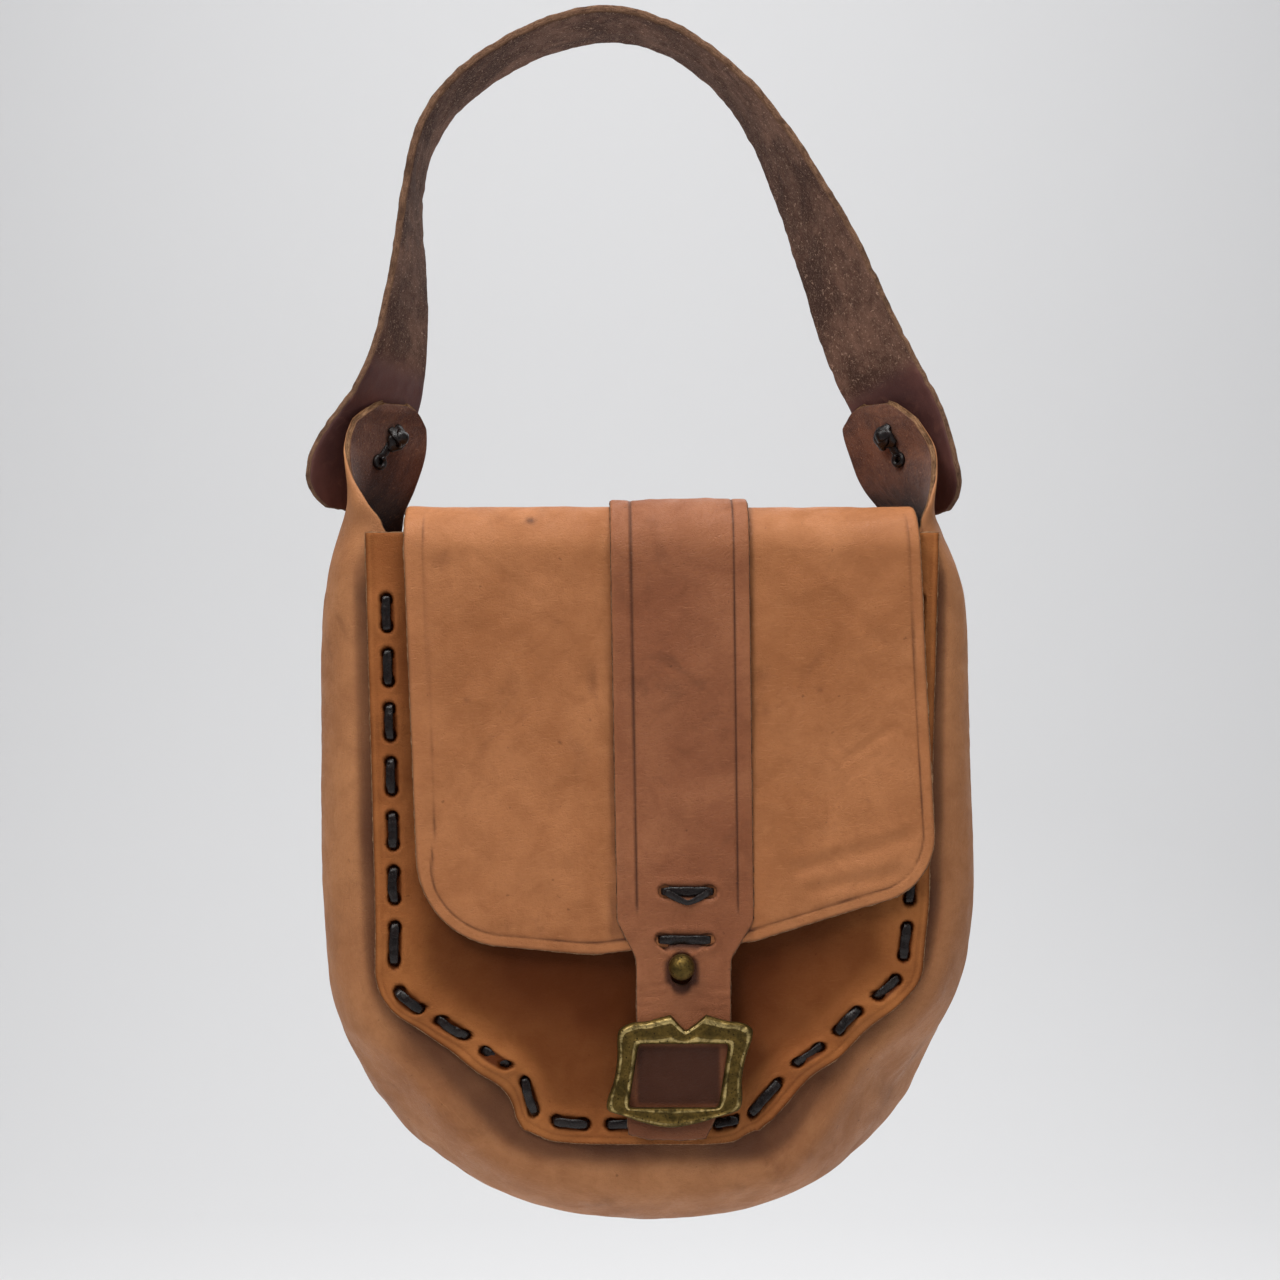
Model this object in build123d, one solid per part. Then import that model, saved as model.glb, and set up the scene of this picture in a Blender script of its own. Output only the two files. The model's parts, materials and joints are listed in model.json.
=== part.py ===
from build123d import *
import os
from math import atan2, cos, hypot, pi, radians, sin

# Laced leather shoulder satchel: front panel, back panel that runs over the top as the flap, one long
# gusset strip with a tab at each end, a shoulder strap tied to the tabs, a centre strap that ends in a
# tongue, a ball stud that the tongue buttons over, and a buckle threaded on the tongue.
#
# Bag axes while modelling (mm): X to the right seen from the front, Y from the front panel to the back,
# Z up.  Heights in the tables below are above the mouth, the top edge of the front panel.
# On export everything moves so that the origin is under the crown of the shoulder strap.

# ---------------------------------------------------------------- driving dimensions
STRAP_DROP = 209.0          # inner face of the strap's crown to the top of the flap
MOUTH_BELOW_FLAP = 11.5     # top of the flap down to the top edge of the front panel
CROWN_X = -17.0             # the crown hangs left of the bag's middle
DEPTH = 78.0                # outer face of the front panel to inner face of the back panel
LEATHER = 2.8               # panels, flap and gusset
STRAP_LEATHER = 3.0         # centre strap and tongue
BELT_LEATHER = 3.6          # shoulder strap
BELT_WIDTH = 45.0
GAP = 0.6                   # open joint line where one hide is split at a flexing line

PANEL_HALF_TOP = 119.0
PANEL_HALF_LOW = 114.0
PANEL_HEIGHT = 253.5
SEAM_INSET = 8.0            # lace line inside the panel's cut edge
FLANGE = 16.0               # gusset leather that lies behind the panel
FLANGE_CLEAR = 0.9          # between the gusset's flange and the panel
HOLE_PITCH = 11.3
HOLE_D = 4.8
LACE_W = 4.2
LACE_T = 1.1

FLAP_LIFT = 2.6             # clear space between the front panel and the flap
FRONT_BEND = 19.4           # outer radius of the flap where it turns down at the front
REAR_BEND = 12.0            # outer radius where the back panel turns over the top

STRAP_X = 12.5              # middle of the centre strap
TONGUE_WIDTH = 38.5
TONGUE_HINGE = -191.5       # the tongue flexes here, between the stud and the buckle
STUD_X = 12.0
STUD_HEIGHT = -178.1
BALL_D = 10.8
BUCKLE_X = 11.2
BUCKLE_HEIGHT = -220.9
BUCKLE_LEAN = 0.16          # sideways lean of the tongue's end and the buckle

BELT_PIVOT_HEIGHT = 87.5    # the shoulder strap flexes here, above the tabs
BELT_PIVOT_RADIUS = 24.0
MID_DEPTH = 40.0            # strap and tabs are centred on this depth

# ---------------------------------------------------------------- derived places
FLAP_TOP_Z = -STRAP_DROP
MOUTH_Z = FLAP_TOP_Z - MOUTH_BELOW_FLAP
BACK_Y = DEPTH + LEATHER
FLAP_INNER_Y = -FLAP_LIFT
FLAP_OUTER_Y = FLAP_INNER_Y - LEATHER
STRAP_STEP = 0.2
STRAP_INNER_Y = FLAP_OUTER_Y - STRAP_STEP
STRAP_OUTER_Y = STRAP_INNER_Y - STRAP_LEATHER
FRONT_BEND_Y = FLAP_OUTER_Y + FRONT_BEND
FRONT_BEND_Z = FLAP_TOP_Z - FRONT_BEND
REAR_BEND_Y = BACK_Y - REAR_BEND
REAR_BEND_Z = FLAP_TOP_Z - REAR_BEND
FAR = 400.0                 # longer than anything here, for trimming blocks

PLACE = Location((-CROWN_X, -MID_DEPTH, 0))
os.makedirs("parts", exist_ok=True)


def save(name, shape):
    """Move a finished piece to the exported frame, write it and say how large it is."""
    export_step(PLACE * shape, f"parts/{name}.step")
    print(f"{name}: {len(shape.solids())} solids, {shape.volume:.0f} mm3, valid {shape.is_valid}")


# ---------------------------------------------------------------- sheet helpers
def outline_face(points, radii):
    """A face in the XZ plane from (x, height) corners, each with its own rounding radius."""
    corners = [(x, MOUTH_Z + height) for x, height in points]
    face = Plane.XZ * make_face(Polyline(*corners, close=True))
    for (x, z), radius in zip(corners, radii):
        if radius:
            corner = face.vertices().sort_by_distance((x, 0, z))[0]
            face = fillet(corner, radius)
    return face


def upright_sheet(face, front_y, thickness):
    """The XZ face as a sheet from front_y back by thickness."""
    return Pos(0, front_y + thickness, 0) * extrude(face, thickness, dir=(0, -1, 0))


def hoop_face(inner_gap, outer_gap):
    """Section (YZ) of leather that goes up the back, over the top and down the front.
    The two gaps are the layer's inner and outer distance from the flap's outer face."""

    def solid_face(grow):
        low = MOUTH_Z - FAR
        front = FLAP_OUTER_Y - grow
        back = BACK_Y + grow
        top = FLAP_TOP_Z + grow
        face = make_face(Polyline((front, low), (front, top), (back, top), (back, low), close=True))
        face = fillet(face.vertices().sort_by_distance((front, top))[0], FRONT_BEND + grow)
        return fillet(face.vertices().sort_by_distance((back, top))[0], REAR_BEND + grow)

    return solid_face(outer_gap) - solid_face(inner_gap)


def flex_cut(center_y, center_z, toward):
    """A thin block across the hoop at the 45 degree point of a bend."""
    reach = 30.0
    middle = Location((center_y + toward * reach / 2 * cos(pi / 4), center_z + reach / 2 * sin(pi / 4)))
    return middle * Rectangle(reach, GAP, rotation=45 * toward)


def hoop_pieces(inner_gap, outer_gap):
    """Front, top and back lengths of the hoop, split at its two flexing lines, as long blocks along X."""
    face = hoop_face(inner_gap, outer_gap)
    face -= flex_cut(FRONT_BEND_Y, FRONT_BEND_Z, -1)
    face -= flex_cut(REAR_BEND_Y, REAR_BEND_Z, 1)
    parts = face.faces().sort_by(Axis.X)
    blocks = [Pos(-FAR, 0, 0) * extrude(Plane.YZ * part, 2 * FAR, dir=(1, 0, 0)) for part in parts]
    return blocks


def upright_prism(points, radii, front_y, back_y):
    return upright_sheet(outline_face(points, radii), front_y, back_y - front_y)


def level_prism(points, low_z, high_z):
    """A block with an XY outline, for trimming the top lengths of the flap."""
    return Pos(0, 0, low_z) * extrude(make_face(Polyline(*points, close=True)), high_z - low_z)


def pin(x, height, front_y, back_y, diameter):
    """A cylinder along Y at (x, height)."""
    length = back_y - front_y
    return Pos(x, (front_y + back_y) / 2, MOUTH_Z + height) * Rot(90, 0, 0) * Cylinder(diameter / 2, length)


def bar(start, end, front_y, thickness, width):
    """A flat round-ended strand in the XZ plane from start to end, both (x, height)."""
    length = hypot(end[0] - start[0], end[1] - start[1])
    angle = atan2(end[1] - start[1], end[0] - start[0]) * 180 / pi
    middle = ((start[0] + end[0]) / 2, MOUTH_Z + (start[1] + end[1]) / 2)
    face = Plane.XZ * (Location(middle) * SlotCenterToCenter(length, width, rotation=angle))
    return upright_sheet(face, front_y, thickness)


# ---------------------------------------------------------------- panels
CORNER_START = -184.5       # the front panel's corners are cut from here
PANEL_OUTLINE = [
    (-PANEL_HALF_TOP, 0),
    (-PANEL_HALF_LOW, CORNER_START),
    (-53, -PANEL_HEIGHT),
    (53, -PANEL_HEIGHT),
    (PANEL_HALF_LOW, CORNER_START),
    (PANEL_HALF_TOP, 0),
]
PANEL_RADII = [2, 18, 14, 14, 18, 2]

BACK_OUTLINE = [
    (-96, 30),
    (-96, -4),
    (-119, -15),
    (-118, -264.5),
    (118, -264.5),
    (119, -15),
    (88, -4),
    (88, 30),
]
BACK_RADII = [0, 3, 3, 32, 50, 3, 3, 0]


def lace_holes(points, radii):
    """Hole centres at an even pitch along the outline's sides and bottom, set in from its cut edge."""
    face = outline_face(points, radii)
    inset = offset(face, -SEAM_INSET, kind=Kind.INTERSECTION).wires()[0]
    top = MOUTH_Z - SEAM_INSET - 2
    edges = [e for e in inset.edges() if e.center().Z < top - 1]
    path = Wire(edges)
    if path.position_at(0).X > 0:
        path = Wire([e.reversed() for e in edges[::-1]])
    usable = path.length - 14
    count = int(usable / HOLE_PITCH) // 2 * 2
    start = (path.length - (count - 1) * HOLE_PITCH) / 2
    spots = [path.position_at((start + i * HOLE_PITCH) / path.length) for i in range(count)]
    return [(p.X, p.Z - MOUTH_Z) for p in spots]


def running_lace(holes, outer_y, inner_y):
    """A flat thong in running stitch: over the outer face, through a hole, under, and up again."""
    front_y = min(outer_y, inner_y)
    back_y = max(outer_y, inner_y)
    lace = pin(*holes[0], front_y - LACE_T / 2, back_y + LACE_T / 2, LACE_W - 0.2)
    for number, (start, end) in enumerate(zip(holes, holes[1:])):
        lace += pin(*end, front_y - LACE_T / 2, back_y + LACE_T / 2, LACE_W - 0.2)
        on_outer_face = number % 2 == 0
        face_y = outer_y if on_outer_face else inner_y
        strand_y = face_y - LACE_T if face_y == front_y else face_y
        lace += bar(start, end, strand_y, LACE_T, LACE_W)
    return lace


LACE_CLEAR = 0.25           # laces lie this far off the leather
front_holes = lace_holes(PANEL_OUTLINE, PANEL_RADII)
back_lace_outline = [(-119, 0), (-118, -264.5), (118, -264.5), (119, 0)]
back_holes = lace_holes(back_lace_outline, [0, 42, 50, 0])
front_hole_pins = Compound([pin(x, h, -1, 12, HOLE_D) for x, h in front_holes])
back_hole_pins = Compound([pin(x, h, DEPTH - 12, BACK_Y + 1, HOLE_D) for x, h in back_holes])

flange_stack = LEATHER + FLANGE_CLEAR + 0.8     # through the flange, with room for its waves
front_lacing = running_lace(front_holes, -LACE_CLEAR, LEATHER + flange_stack + LACE_CLEAR)
back_lacing = running_lace(back_holes, BACK_Y + LACE_CLEAR, DEPTH - flange_stack - LACE_CLEAR)

STUD_SHANK_D = 3.2
front_panel = upright_sheet(outline_face(PANEL_OUTLINE, PANEL_RADII), 0, LEATHER)
front_panel -= front_hole_pins
front_panel -= pin(STUD_X, STUD_HEIGHT, -1, LEATHER + 1, STUD_SHANK_D + 0.4)

flap_front_block, flap_top_block, back_block = hoop_pieces(-LEATHER, 0)
back_panel = back_block & upright_prism(BACK_OUTLINE, BACK_RADII, DEPTH / 2, BACK_Y + 1)
back_panel -= back_hole_pins

# ---------------------------------------------------------------- flap
FLAP_OUTLINE = [(-103, 30), (-95.6, -168.5), (-21.6, -173.2), (41.5, -167.8), (117.2, -145.4), (109, 30)]
FLAP_RADII = [0, 38, 0, 0, 28, 0]
flap_front = flap_front_block & upright_prism(FLAP_OUTLINE, FLAP_RADII, -20, DEPTH / 2)

FLAP_TOP_OUTLINE = [
    (-102.7, -20),
    (-102.7, 22),
    (-100, 40),
    (-96, 58),
    (-96, 100),
    (88, 100),
    (88, 58),
    (98, 40),
    (109, 22),
    (109, -20),
]
flap_top = flap_top_block & level_prism(FLAP_TOP_OUTLINE, MOUTH_Z - 60, FLAP_TOP_Z + 10)

# ---------------------------------------------------------------- centre strap and tongue
strap_front_block, strap_top_block, strap_back_block = hoop_pieces(STRAP_STEP, STRAP_STEP + STRAP_LEATHER)
TONGUE_LEFT = STRAP_X + 0.4 - TONGUE_WIDTH / 2
TONGUE_RIGHT = STRAP_X + 0.4 + TONGUE_WIDTH / 2
STRAP_OUTLINE = [
    (-17.4, 30),
    (-14.2, -162),
    (TONGUE_LEFT, -175),
    (TONGUE_LEFT, TONGUE_HINGE + GAP / 2),
    (TONGUE_RIGHT, TONGUE_HINGE + GAP / 2),
    (TONGUE_RIGHT, -175),
    (41.5, -162),
    (39.4, 30),
]
STRAP_RADII = [0, 6, 8, 0, 0, 8, 6, 0]
BUTTONHOLE_D = BALL_D + 0.8
BUTTONHOLE_DROP = 5.5
centre_strap_front = strap_front_block & upright_prism(STRAP_OUTLINE, STRAP_RADII, -30, DEPTH / 2)
buttonhole = bar(
    (STUD_X, STUD_HEIGHT), (STUD_X, STUD_HEIGHT - BUTTONHOLE_DROP), -30, 30, BUTTONHOLE_D
)
centre_strap_front -= buttonhole
centre_strap_top = strap_top_block & level_prism(
    [(-17.4, -30), (39.4, -30), (39.4, 100), (-17.4, 100)], MOUTH_Z - 60, FLAP_TOP_Z + 20
)
STRAP_BACK_END = -60
centre_strap_back = strap_back_block & upright_prism(
    [(-17.4, 30), (-17.4, STRAP_BACK_END), (39.4, STRAP_BACK_END), (39.4, 30)],
    [0, 12, 12, 0],
    DEPTH / 2,
    BACK_Y + 10,
)

TONGUE_OUTLINE = [
    (TONGUE_LEFT, TONGUE_HINGE - GAP / 2),
    (TONGUE_LEFT + 0.3, -208),
    (-10.5, -236),
    (-9.5, -247.5),
    (22, -249),
    (28, -236),
    (TONGUE_RIGHT - 0.1, -208),
    (TONGUE_RIGHT, TONGUE_HINGE - GAP / 2),
]
tongue = upright_sheet(
    outline_face(TONGUE_OUTLINE, [0, 10, 0, 9, 12, 0, 10, 0]), STRAP_OUTER_Y, STRAP_LEATHER
)


def strap_lace(height, left_x, right_x, outer_y, inner_y, with_loop):
    """A thong tied through two holes: strands on both faces, and a second one that sags to a V."""
    front_y = min(outer_y, inner_y)
    back_y = max(outer_y, inner_y)
    outer_strand_y = outer_y - LACE_T if outer_y == front_y else outer_y
    inner_strand_y = inner_y - LACE_T if inner_y == front_y else inner_y
    left = (left_x, height)
    right = (right_x, height)
    lace = bar(left, right, outer_strand_y, LACE_T, LACE_W + 0.4)
    lace += bar(left, right, inner_strand_y, LACE_T, LACE_W + 0.4)
    for spot in (left, right):
        lace += pin(*spot, front_y - LACE_T / 2, back_y + LACE_T / 2, LACE_W)
    if with_loop:
        low = ((left_x + right_x) / 2, height - 5)
        lace += bar(left, low, outer_strand_y, LACE_T, LACE_W - 0.8)
        lace += bar(low, right, outer_strand_y, LACE_T, LACE_W - 0.8)
    return lace


UPPER_LACE = (-147.8, 5.4, 23.7)
LOWER_LACE = (-167.6, 4.2, 22.8)
BACK_LACE = (-44.0, 2.0, 20.0)
strap_out = STRAP_OUTER_Y - 0.1
flap_in = FLAP_INNER_Y + 0.1
upper_strap_lace = strap_lace(*UPPER_LACE, strap_out, flap_in, True)
lower_strap_lace = strap_lace(*LOWER_LACE, strap_out, flap_in, False)
back_strap_lace = strap_lace(
    *BACK_LACE, BACK_Y + STRAP_STEP + STRAP_LEATHER + 0.1, DEPTH - 0.1, False
)
for height, left_x, right_x in (UPPER_LACE, LOWER_LACE):
    holes = Compound([pin(x, height, -20, 5, HOLE_D) for x in (left_x, right_x)])
    flap_front -= holes
    centre_strap_front -= holes
back_tie_holes = Compound([pin(x, BACK_LACE[0], DEPTH - 2, BACK_Y + 9, HOLE_D) for x in BACK_LACE[1:]])
back_panel -= back_tie_holes
centre_strap_back -= back_tie_holes

# ---------------------------------------------------------------- ball stud
STUD_FLANGE_D = 9.0
STUD_FLANGE_T = 1.2
STUD_NECK_D = 4.8
BALL_Y = STRAP_OUTER_Y - 4.6
stud_ball = pin(STUD_X, STUD_HEIGHT, -STUD_FLANGE_T - 0.05, -0.05, STUD_FLANGE_D)
stud_ball += pin(STUD_X, STUD_HEIGHT, BALL_Y, -0.5, STUD_NECK_D)
stud_ball += Pos(STUD_X, BALL_Y, MOUTH_Z + STUD_HEIGHT) * Sphere(BALL_D / 2)
stud_ball -= pin(STUD_X, STUD_HEIGHT, -7, 1, STUD_SHANK_D + 0.1)
SCREW_HEAD_T = 1.6
screw_head_y = LEATHER + 0.05
stud_screw = pin(STUD_X, STUD_HEIGHT, -6.5, screw_head_y + 0.5, STUD_SHANK_D)
stud_screw += pin(STUD_X, STUD_HEIGHT, screw_head_y, screw_head_y + SCREW_HEAD_T, STUD_FLANGE_D)
slot_y = screw_head_y + SCREW_HEAD_T
stud_screw -= Pos(STUD_X, slot_y, MOUTH_Z + STUD_HEIGHT) * Box(STUD_FLANGE_D + 2, 1.4, 1.1)

# ---------------------------------------------------------------- buckle
BUCKLE_T = 3.0
WINDOW_HALF = 18.4
WINDOW_TOP = 10.8
WINDOW_LOW = -15.3
HALF_CONTOUR = [
    (7.3, 22.7),
    (12.5, 21.2),
    (17, 20),
    (22.5, 19.4),
    (27, 17),
    (27.6, 13),
    (26.3, 5),
    (26.2, -4),
    (27.6, -12),
    (26.6, -16.4),
    (20, -18.6),
    (11, -21.6),
    (0, -23.4),
]
NOTCH = (0, 16.2)


def lean(x, z):
    """Buckle coordinates to (x, height), with the sideways lean of the casting."""
    return (BUCKLE_X + x + BUCKLE_LEAN * z, MOUTH_Z + BUCKLE_HEIGHT + z)


def buckle_contour():
    right = [lean(x, z) for x, z in HALF_CONTOUR]
    left = [lean(-x, z) for x, z in HALF_CONTOUR[:-1]]
    notch = lean(*NOTCH)
    outer = Spline(*right, *left[::-1])
    return make_face([outer, Line(left[0], notch), Line(notch, right[0])])


window_corners = [
    lean(-WINDOW_HALF, WINDOW_TOP),
    lean(WINDOW_HALF, WINDOW_TOP),
    lean(WINDOW_HALF, WINDOW_LOW),
    lean(-WINDOW_HALF, WINDOW_LOW),
]
window = make_face(Polyline(*window_corners, close=True))
BUCKLE_BACK_Y = STRAP_OUTER_Y - 0.4
buckle_frame = upright_sheet(Plane.XZ * (buckle_contour() - window), BUCKLE_BACK_Y - BUCKLE_T, BUCKLE_T)
BAR_D = 2.2
BAR_REACH = 21.6            # the keeper bar's legs stand outside the tongue
bar_y = STRAP_INNER_Y + 0.35 + BAR_D / 2
bar_x = BUCKLE_X
bar_z = MOUTH_Z + BUCKLE_HEIGHT
bar_left, bar_right = bar_x - BAR_REACH, bar_x + BAR_REACH
buckle_bar = Pos(bar_x, bar_y, bar_z) * Rot(0, 90, 0) * Cylinder(BAR_D / 2 - 0.1, 2 * BAR_REACH)
for leg_x in (bar_left, bar_right):
    buckle_bar += pin(leg_x, BUCKLE_HEIGHT, BUCKLE_BACK_Y - 1.5, bar_y + BAR_D / 2, BAR_D)
buckle_frame -= Compound(
    [pin(x, BUCKLE_HEIGHT, BUCKLE_BACK_Y - 1.5, BUCKLE_BACK_Y + 1, BAR_D) for x in (bar_left, bar_right)]
)

# ---------------------------------------------------------------- gusset
FRONT_FLANGE_Y = LEATHER + FLANGE_CLEAR + LEATHER / 2
REAR_FLANGE_Y = DEPTH - FLANGE_CLEAR - LEATHER / 2
SECTION_POINTS = 21

# Right half of the bag part of the strip: front seam (x, height), rear seam (x, height),
# outward direction in degrees, bulge between the seams on the left and on the right.
BODY_STATIONS = [
    ((119, -14), (119, -16), 0, (19, 10)),
    ((118.4, -40), (118.6, -42), 0, (22, 15)),
    ((117.6, -74), (118, -76), 0, (23, 17)),
    ((115.6, -134), (117, -139), 0, (24, 21)),
    ((113.6, -178), (116.5, -186), -10, (23, 22)),
    ((107, -198), (113.5, -212), -34, (24, 24)),
    ((84, -221.5), (101, -241), -46, (25, 25)),
    ((61, -244), (78, -257.5), -56, (25, 25)),
    ((48, -252.5), (54, -262.5), -71, (27, 27)),
    ((25, -253.5), (27, -264.5), -87, (33, 33)),
    ((0, -253.5), (0, -264.5), -90, (35, 35)),
]
# Ends of the strip: height, front edge (x, y), rear edge (x, y), bulge.
LEFT_TAB = [
    (57.6, (-115.2, 34), (-106.4, 46), 0.3),
    (55, (-119.5, 28), (-102.5, 52), 0.5),
    (48.5, (-126.5, 21), (-100, 58.5), 1),
    (37, (-129, 17.5), (-100.6, 60), 2),
    (24, (-125.6, 11), (-105, 65), 6),
    (12.5, (-118.6, 5.5), (-110.5, 71), 13),
    (3, (-112.5, FRONT_FLANGE_Y), (-112.5, 74), 20),
]
RIGHT_TAB = [
    (57.6, (101.5, 34), (92.5, 46), 0.3),
    (55, (106, 28), (88, 52), 0.5),
    (48.5, (112.5, 21), (85, 58.5), 1),
    (37, (118, 17.5), (88.4, 60), 2),
    (24, (118, 11), (94.5, 65), 2),
    (12.5, (115, 5.5), (104, 71), 5.5),
    (3, (112, FRONT_FLANGE_Y), (111, 74), 11),
]


def even_points(points, count):
    """The polyline resampled at equal steps of its length."""
    lengths = [(b - a).length for a, b in zip(points, points[1:])]
    total = sum(lengths)
    result = [points[0]]
    index, passed = 0, 0.0
    for step in range(1, count - 1):
        target = total * step / (count - 1)
        while passed + lengths[index] < target:
            passed += lengths[index]
            index += 1
        part = (target - passed) / lengths[index]
        result.append(points[index] + (points[index + 1] - points[index]) * part)
    return result + [points[-1]]


def strip_section(front, rear, angle, bulge, flange):
    """Closed wire across the strip.  front and rear are (x, y, height) of the seams."""
    out = Vector(cos(radians(angle)), 0, sin(radians(angle)))
    run = Vector(-sin(radians(angle)), 0, cos(radians(angle)))
    front_seam = Vector(front[0], front[1], MOUTH_Z + front[2])
    rear_seam = Vector(rear[0], rear[1], MOUTH_Z + rear[2])
    fine = 40
    line = []
    if flange:
        line += [front_seam - out * flange * (1 - i / 8) for i in range(8)]
    for i in range(fine + 1):
        across = (1 - cos(pi * i / fine)) / 2
        line.append(front_seam + (rear_seam - front_seam) * across + out * bulge * sin(pi * i / fine))
    if flange:
        line += [rear_seam - out * flange * (i + 1) / 8 for i in range(8)]
    middle = even_points(line, SECTION_POINTS)
    outer, inner = [], []
    for i, point in enumerate(middle):
        ahead = middle[min(i + 1, SECTION_POINTS - 1)]
        behind = middle[max(i - 1, 0)]
        normal = (ahead - behind).cross(run).normalized()
        outer.append(point + normal * LEATHER / 2)
        inner.append(point - normal * LEATHER / 2)
    return Wire(
        [
            Spline(*outer),
            Line(outer[-1], inner[-1]),
            Spline(*inner[::-1]),
            Line(inner[0], outer[0]),
        ]
    )


def tab_section(height, front, rear, bulge, side):
    angle = 0 if side > 0 else 180
    return strip_section((*front, height), (*rear, height), angle, bulge, 0)


def body_section(station, side):
    (front_x, front_h), (rear_x, rear_h), angle, bulges = station
    bulge = bulges[1] if side > 0 else bulges[0]
    direction = angle if side > 0 else 180 - angle
    front = (side * front_x, FRONT_FLANGE_Y, front_h)
    rear = (side * rear_x, REAR_FLANGE_Y, rear_h)
    return strip_section(front, rear, direction, bulge, FLANGE)


sections = [tab_section(*row, -1) for row in LEFT_TAB]
sections += [body_section(row, -1) for row in BODY_STATIONS]
sections += [body_section(row, 1) for row in BODY_STATIONS[-2::-1]]
sections += [tab_section(*row, 1) for row in RIGHT_TAB[::-1]]
panel_gap = Pos(0, (LEATHER + DEPTH) / 2, MOUTH_Z - 100) * Box(FAR, DEPTH - LEATHER - 0.1, FAR)
gusset = Solid.make_loft(sections) & panel_gap

# ---------------------------------------------------------------- shoulder strap
# Middle of the leather: x, height, twist (front edge outward, degrees), width.
BELT_STATIONS = [
    (-135.6, 12.5, 38, 14),
    (-135.1, 16.5, 39, 30),
    (-133.6, 22.5, 40, 42),
    (-129.9, 31.5, 42, BELT_WIDTH),
    (-124.2, 41.5, 40, BELT_WIDTH),
    (-116.2, 56.5, 31, BELT_WIDTH),
    (-110.2, 74.5, 23, BELT_WIDTH),
    (-106.5, 98.5, 15.5, BELT_WIDTH),
    (-104.8, 122.5, 8.5, BELT_WIDTH),
    (-103.8, 145.5, 2, BELT_WIDTH),
    (-101.4, 161.5, 0, BELT_WIDTH),
    (-96, 176.5, 0, BELT_WIDTH),
    (-85.5, 191.5, 0, BELT_WIDTH),
    (-67.5, 206, 0, BELT_WIDTH),
    (-44, 217.2, 0, BELT_WIDTH),
    (CROWN_X, STRAP_DROP + MOUTH_BELOW_FLAP + BELT_LEATHER / 2, 0, BELT_WIDTH),
    (7, 216, 0, BELT_WIDTH),
    (27.5, 202.5, 2, BELT_WIDTH),
    (44, 184, 6, BELT_WIDTH),
    (57, 163, 13, BELT_WIDTH),
    (71.5, 133, 24, BELT_WIDTH),
    (84, 102.5, 33, BELT_WIDTH),
    (94.6, 77.5, 39, BELT_WIDTH),
    (104.5, 58.5, 40, BELT_WIDTH),
    (111.2, 46, 38, BELT_WIDTH),
    (115.2, 36, 34, BELT_WIDTH),
    (118.3, 27, 31, BELT_WIDTH),
    (121.0, 19.5, 30, 42),
    (123.3, 14, 30, 30),
    (124.5, 10.5, 30, 14),
]


def belt_section(index):
    x, height, twist, width = BELT_STATIONS[index]
    behind = BELT_STATIONS[max(index - 1, 0)]
    ahead = BELT_STATIONS[min(index + 1, len(BELT_STATIONS) - 1)]
    along = Vector(ahead[0] - behind[0], 0, ahead[1] - behind[1]).normalized()
    outward = Vector(-along.Z, 0, along.X)
    to_front = Vector(0, -cos(radians(twist)), 0) + outward * sin(radians(twist))
    normal = along.cross(to_front).normalized()
    middle = Vector(x, MID_DEPTH, MOUTH_Z + height)
    half_w = to_front * (width / 2)
    half_t = normal * (BELT_LEATHER / 2)
    corners = [middle + half_w + half_t, middle + half_w - half_t, middle - half_w - half_t, middle - half_w + half_t]
    return Wire(Polyline(*corners, close=True).edges())


belt = Solid.make_loft([belt_section(i) for i in range(len(BELT_STATIONS))])
pivot_z = MOUTH_Z + BELT_PIVOT_HEIGHT


def pivot_drum(radius):
    """The cylinder about the flexing line that parts the loop of the strap from its two ends."""
    return Pos(0, MID_DEPTH, pivot_z) * Rot(0, 90, 0) * Cylinder(radius, 2 * FAR)


above = Pos(0, MID_DEPTH, pivot_z + FAR / 2) * Box(2 * FAR, FAR, FAR)
shoulder_strap = belt & (above + pivot_drum(BELT_PIVOT_RADIUS))
ends = belt - (above + pivot_drum(BELT_PIVOT_RADIUS + GAP))
left_strap_end, right_strap_end = ends.solids().sort_by(Axis.X)

# ---------------------------------------------------------------- ties of the shoulder strap
# Each tie goes through the tab and the strap's end at two holes: x, y and height on the tab,
# and how far out its outer strand lies.
LEFT_TIE = ((-113.8, 42, 41), (-119.5, 36, 32))
LEFT_TIE_REACH = 13.4
RIGHT_TIE = ((103.8, 38, 44), (108.4, 36.4, 34))
RIGHT_TIE_REACH = 14.2
TIE_TWIST = 42
TIE_D = 3.8
TIE_TURN_D = 3.9            # the round of the thong at each turn
TIE_KNOT_D = 8.0
TIE_KNOT_IN = 6.6           # the knot's centre lies this far inside the tab's middle surface


def tie_axis(side):
    """Direction square to the tab, out of the bag."""
    return Vector(side * cos(radians(TIE_TWIST)), sin(radians(TIE_TWIST)), 0)


def rod(start, end, diameter):
    path = Line(start, end)
    return sweep(Plane(origin=start, z_dir=end - start) * Circle(diameter / 2), path)


def strap_tie(spots, side, reach):
    out = tie_axis(side)
    inner, outer = [], []
    tie = None
    for x, y, height in spots:
        middle = Vector(x, y, MOUTH_Z + height)
        inner.append(middle - out * TIE_KNOT_IN)
        outer.append(middle + out * reach)
        leg = rod(inner[-1], outer[-1], TIE_D)
        tie = leg if tie is None else tie + leg
    tie += rod(inner[0], inner[1], TIE_D)
    tie += rod(outer[0], outer[1], TIE_D)
    for point in inner + outer:
        tie += Pos(*point) * Sphere(TIE_TURN_D / 2)
    tie += Pos(*((inner[0] + inner[1]) / 2)) * Sphere(TIE_KNOT_D / 2)
    return tie


def tie_holes(spots, side):
    out = tie_axis(side)
    rods = []
    for x, y, height in spots:
        middle = Vector(x, y, MOUTH_Z + height)
        rods.append(rod(middle - out * 12, middle + out * 16, TIE_D + 0.4))
    return Compound(rods)


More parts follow.
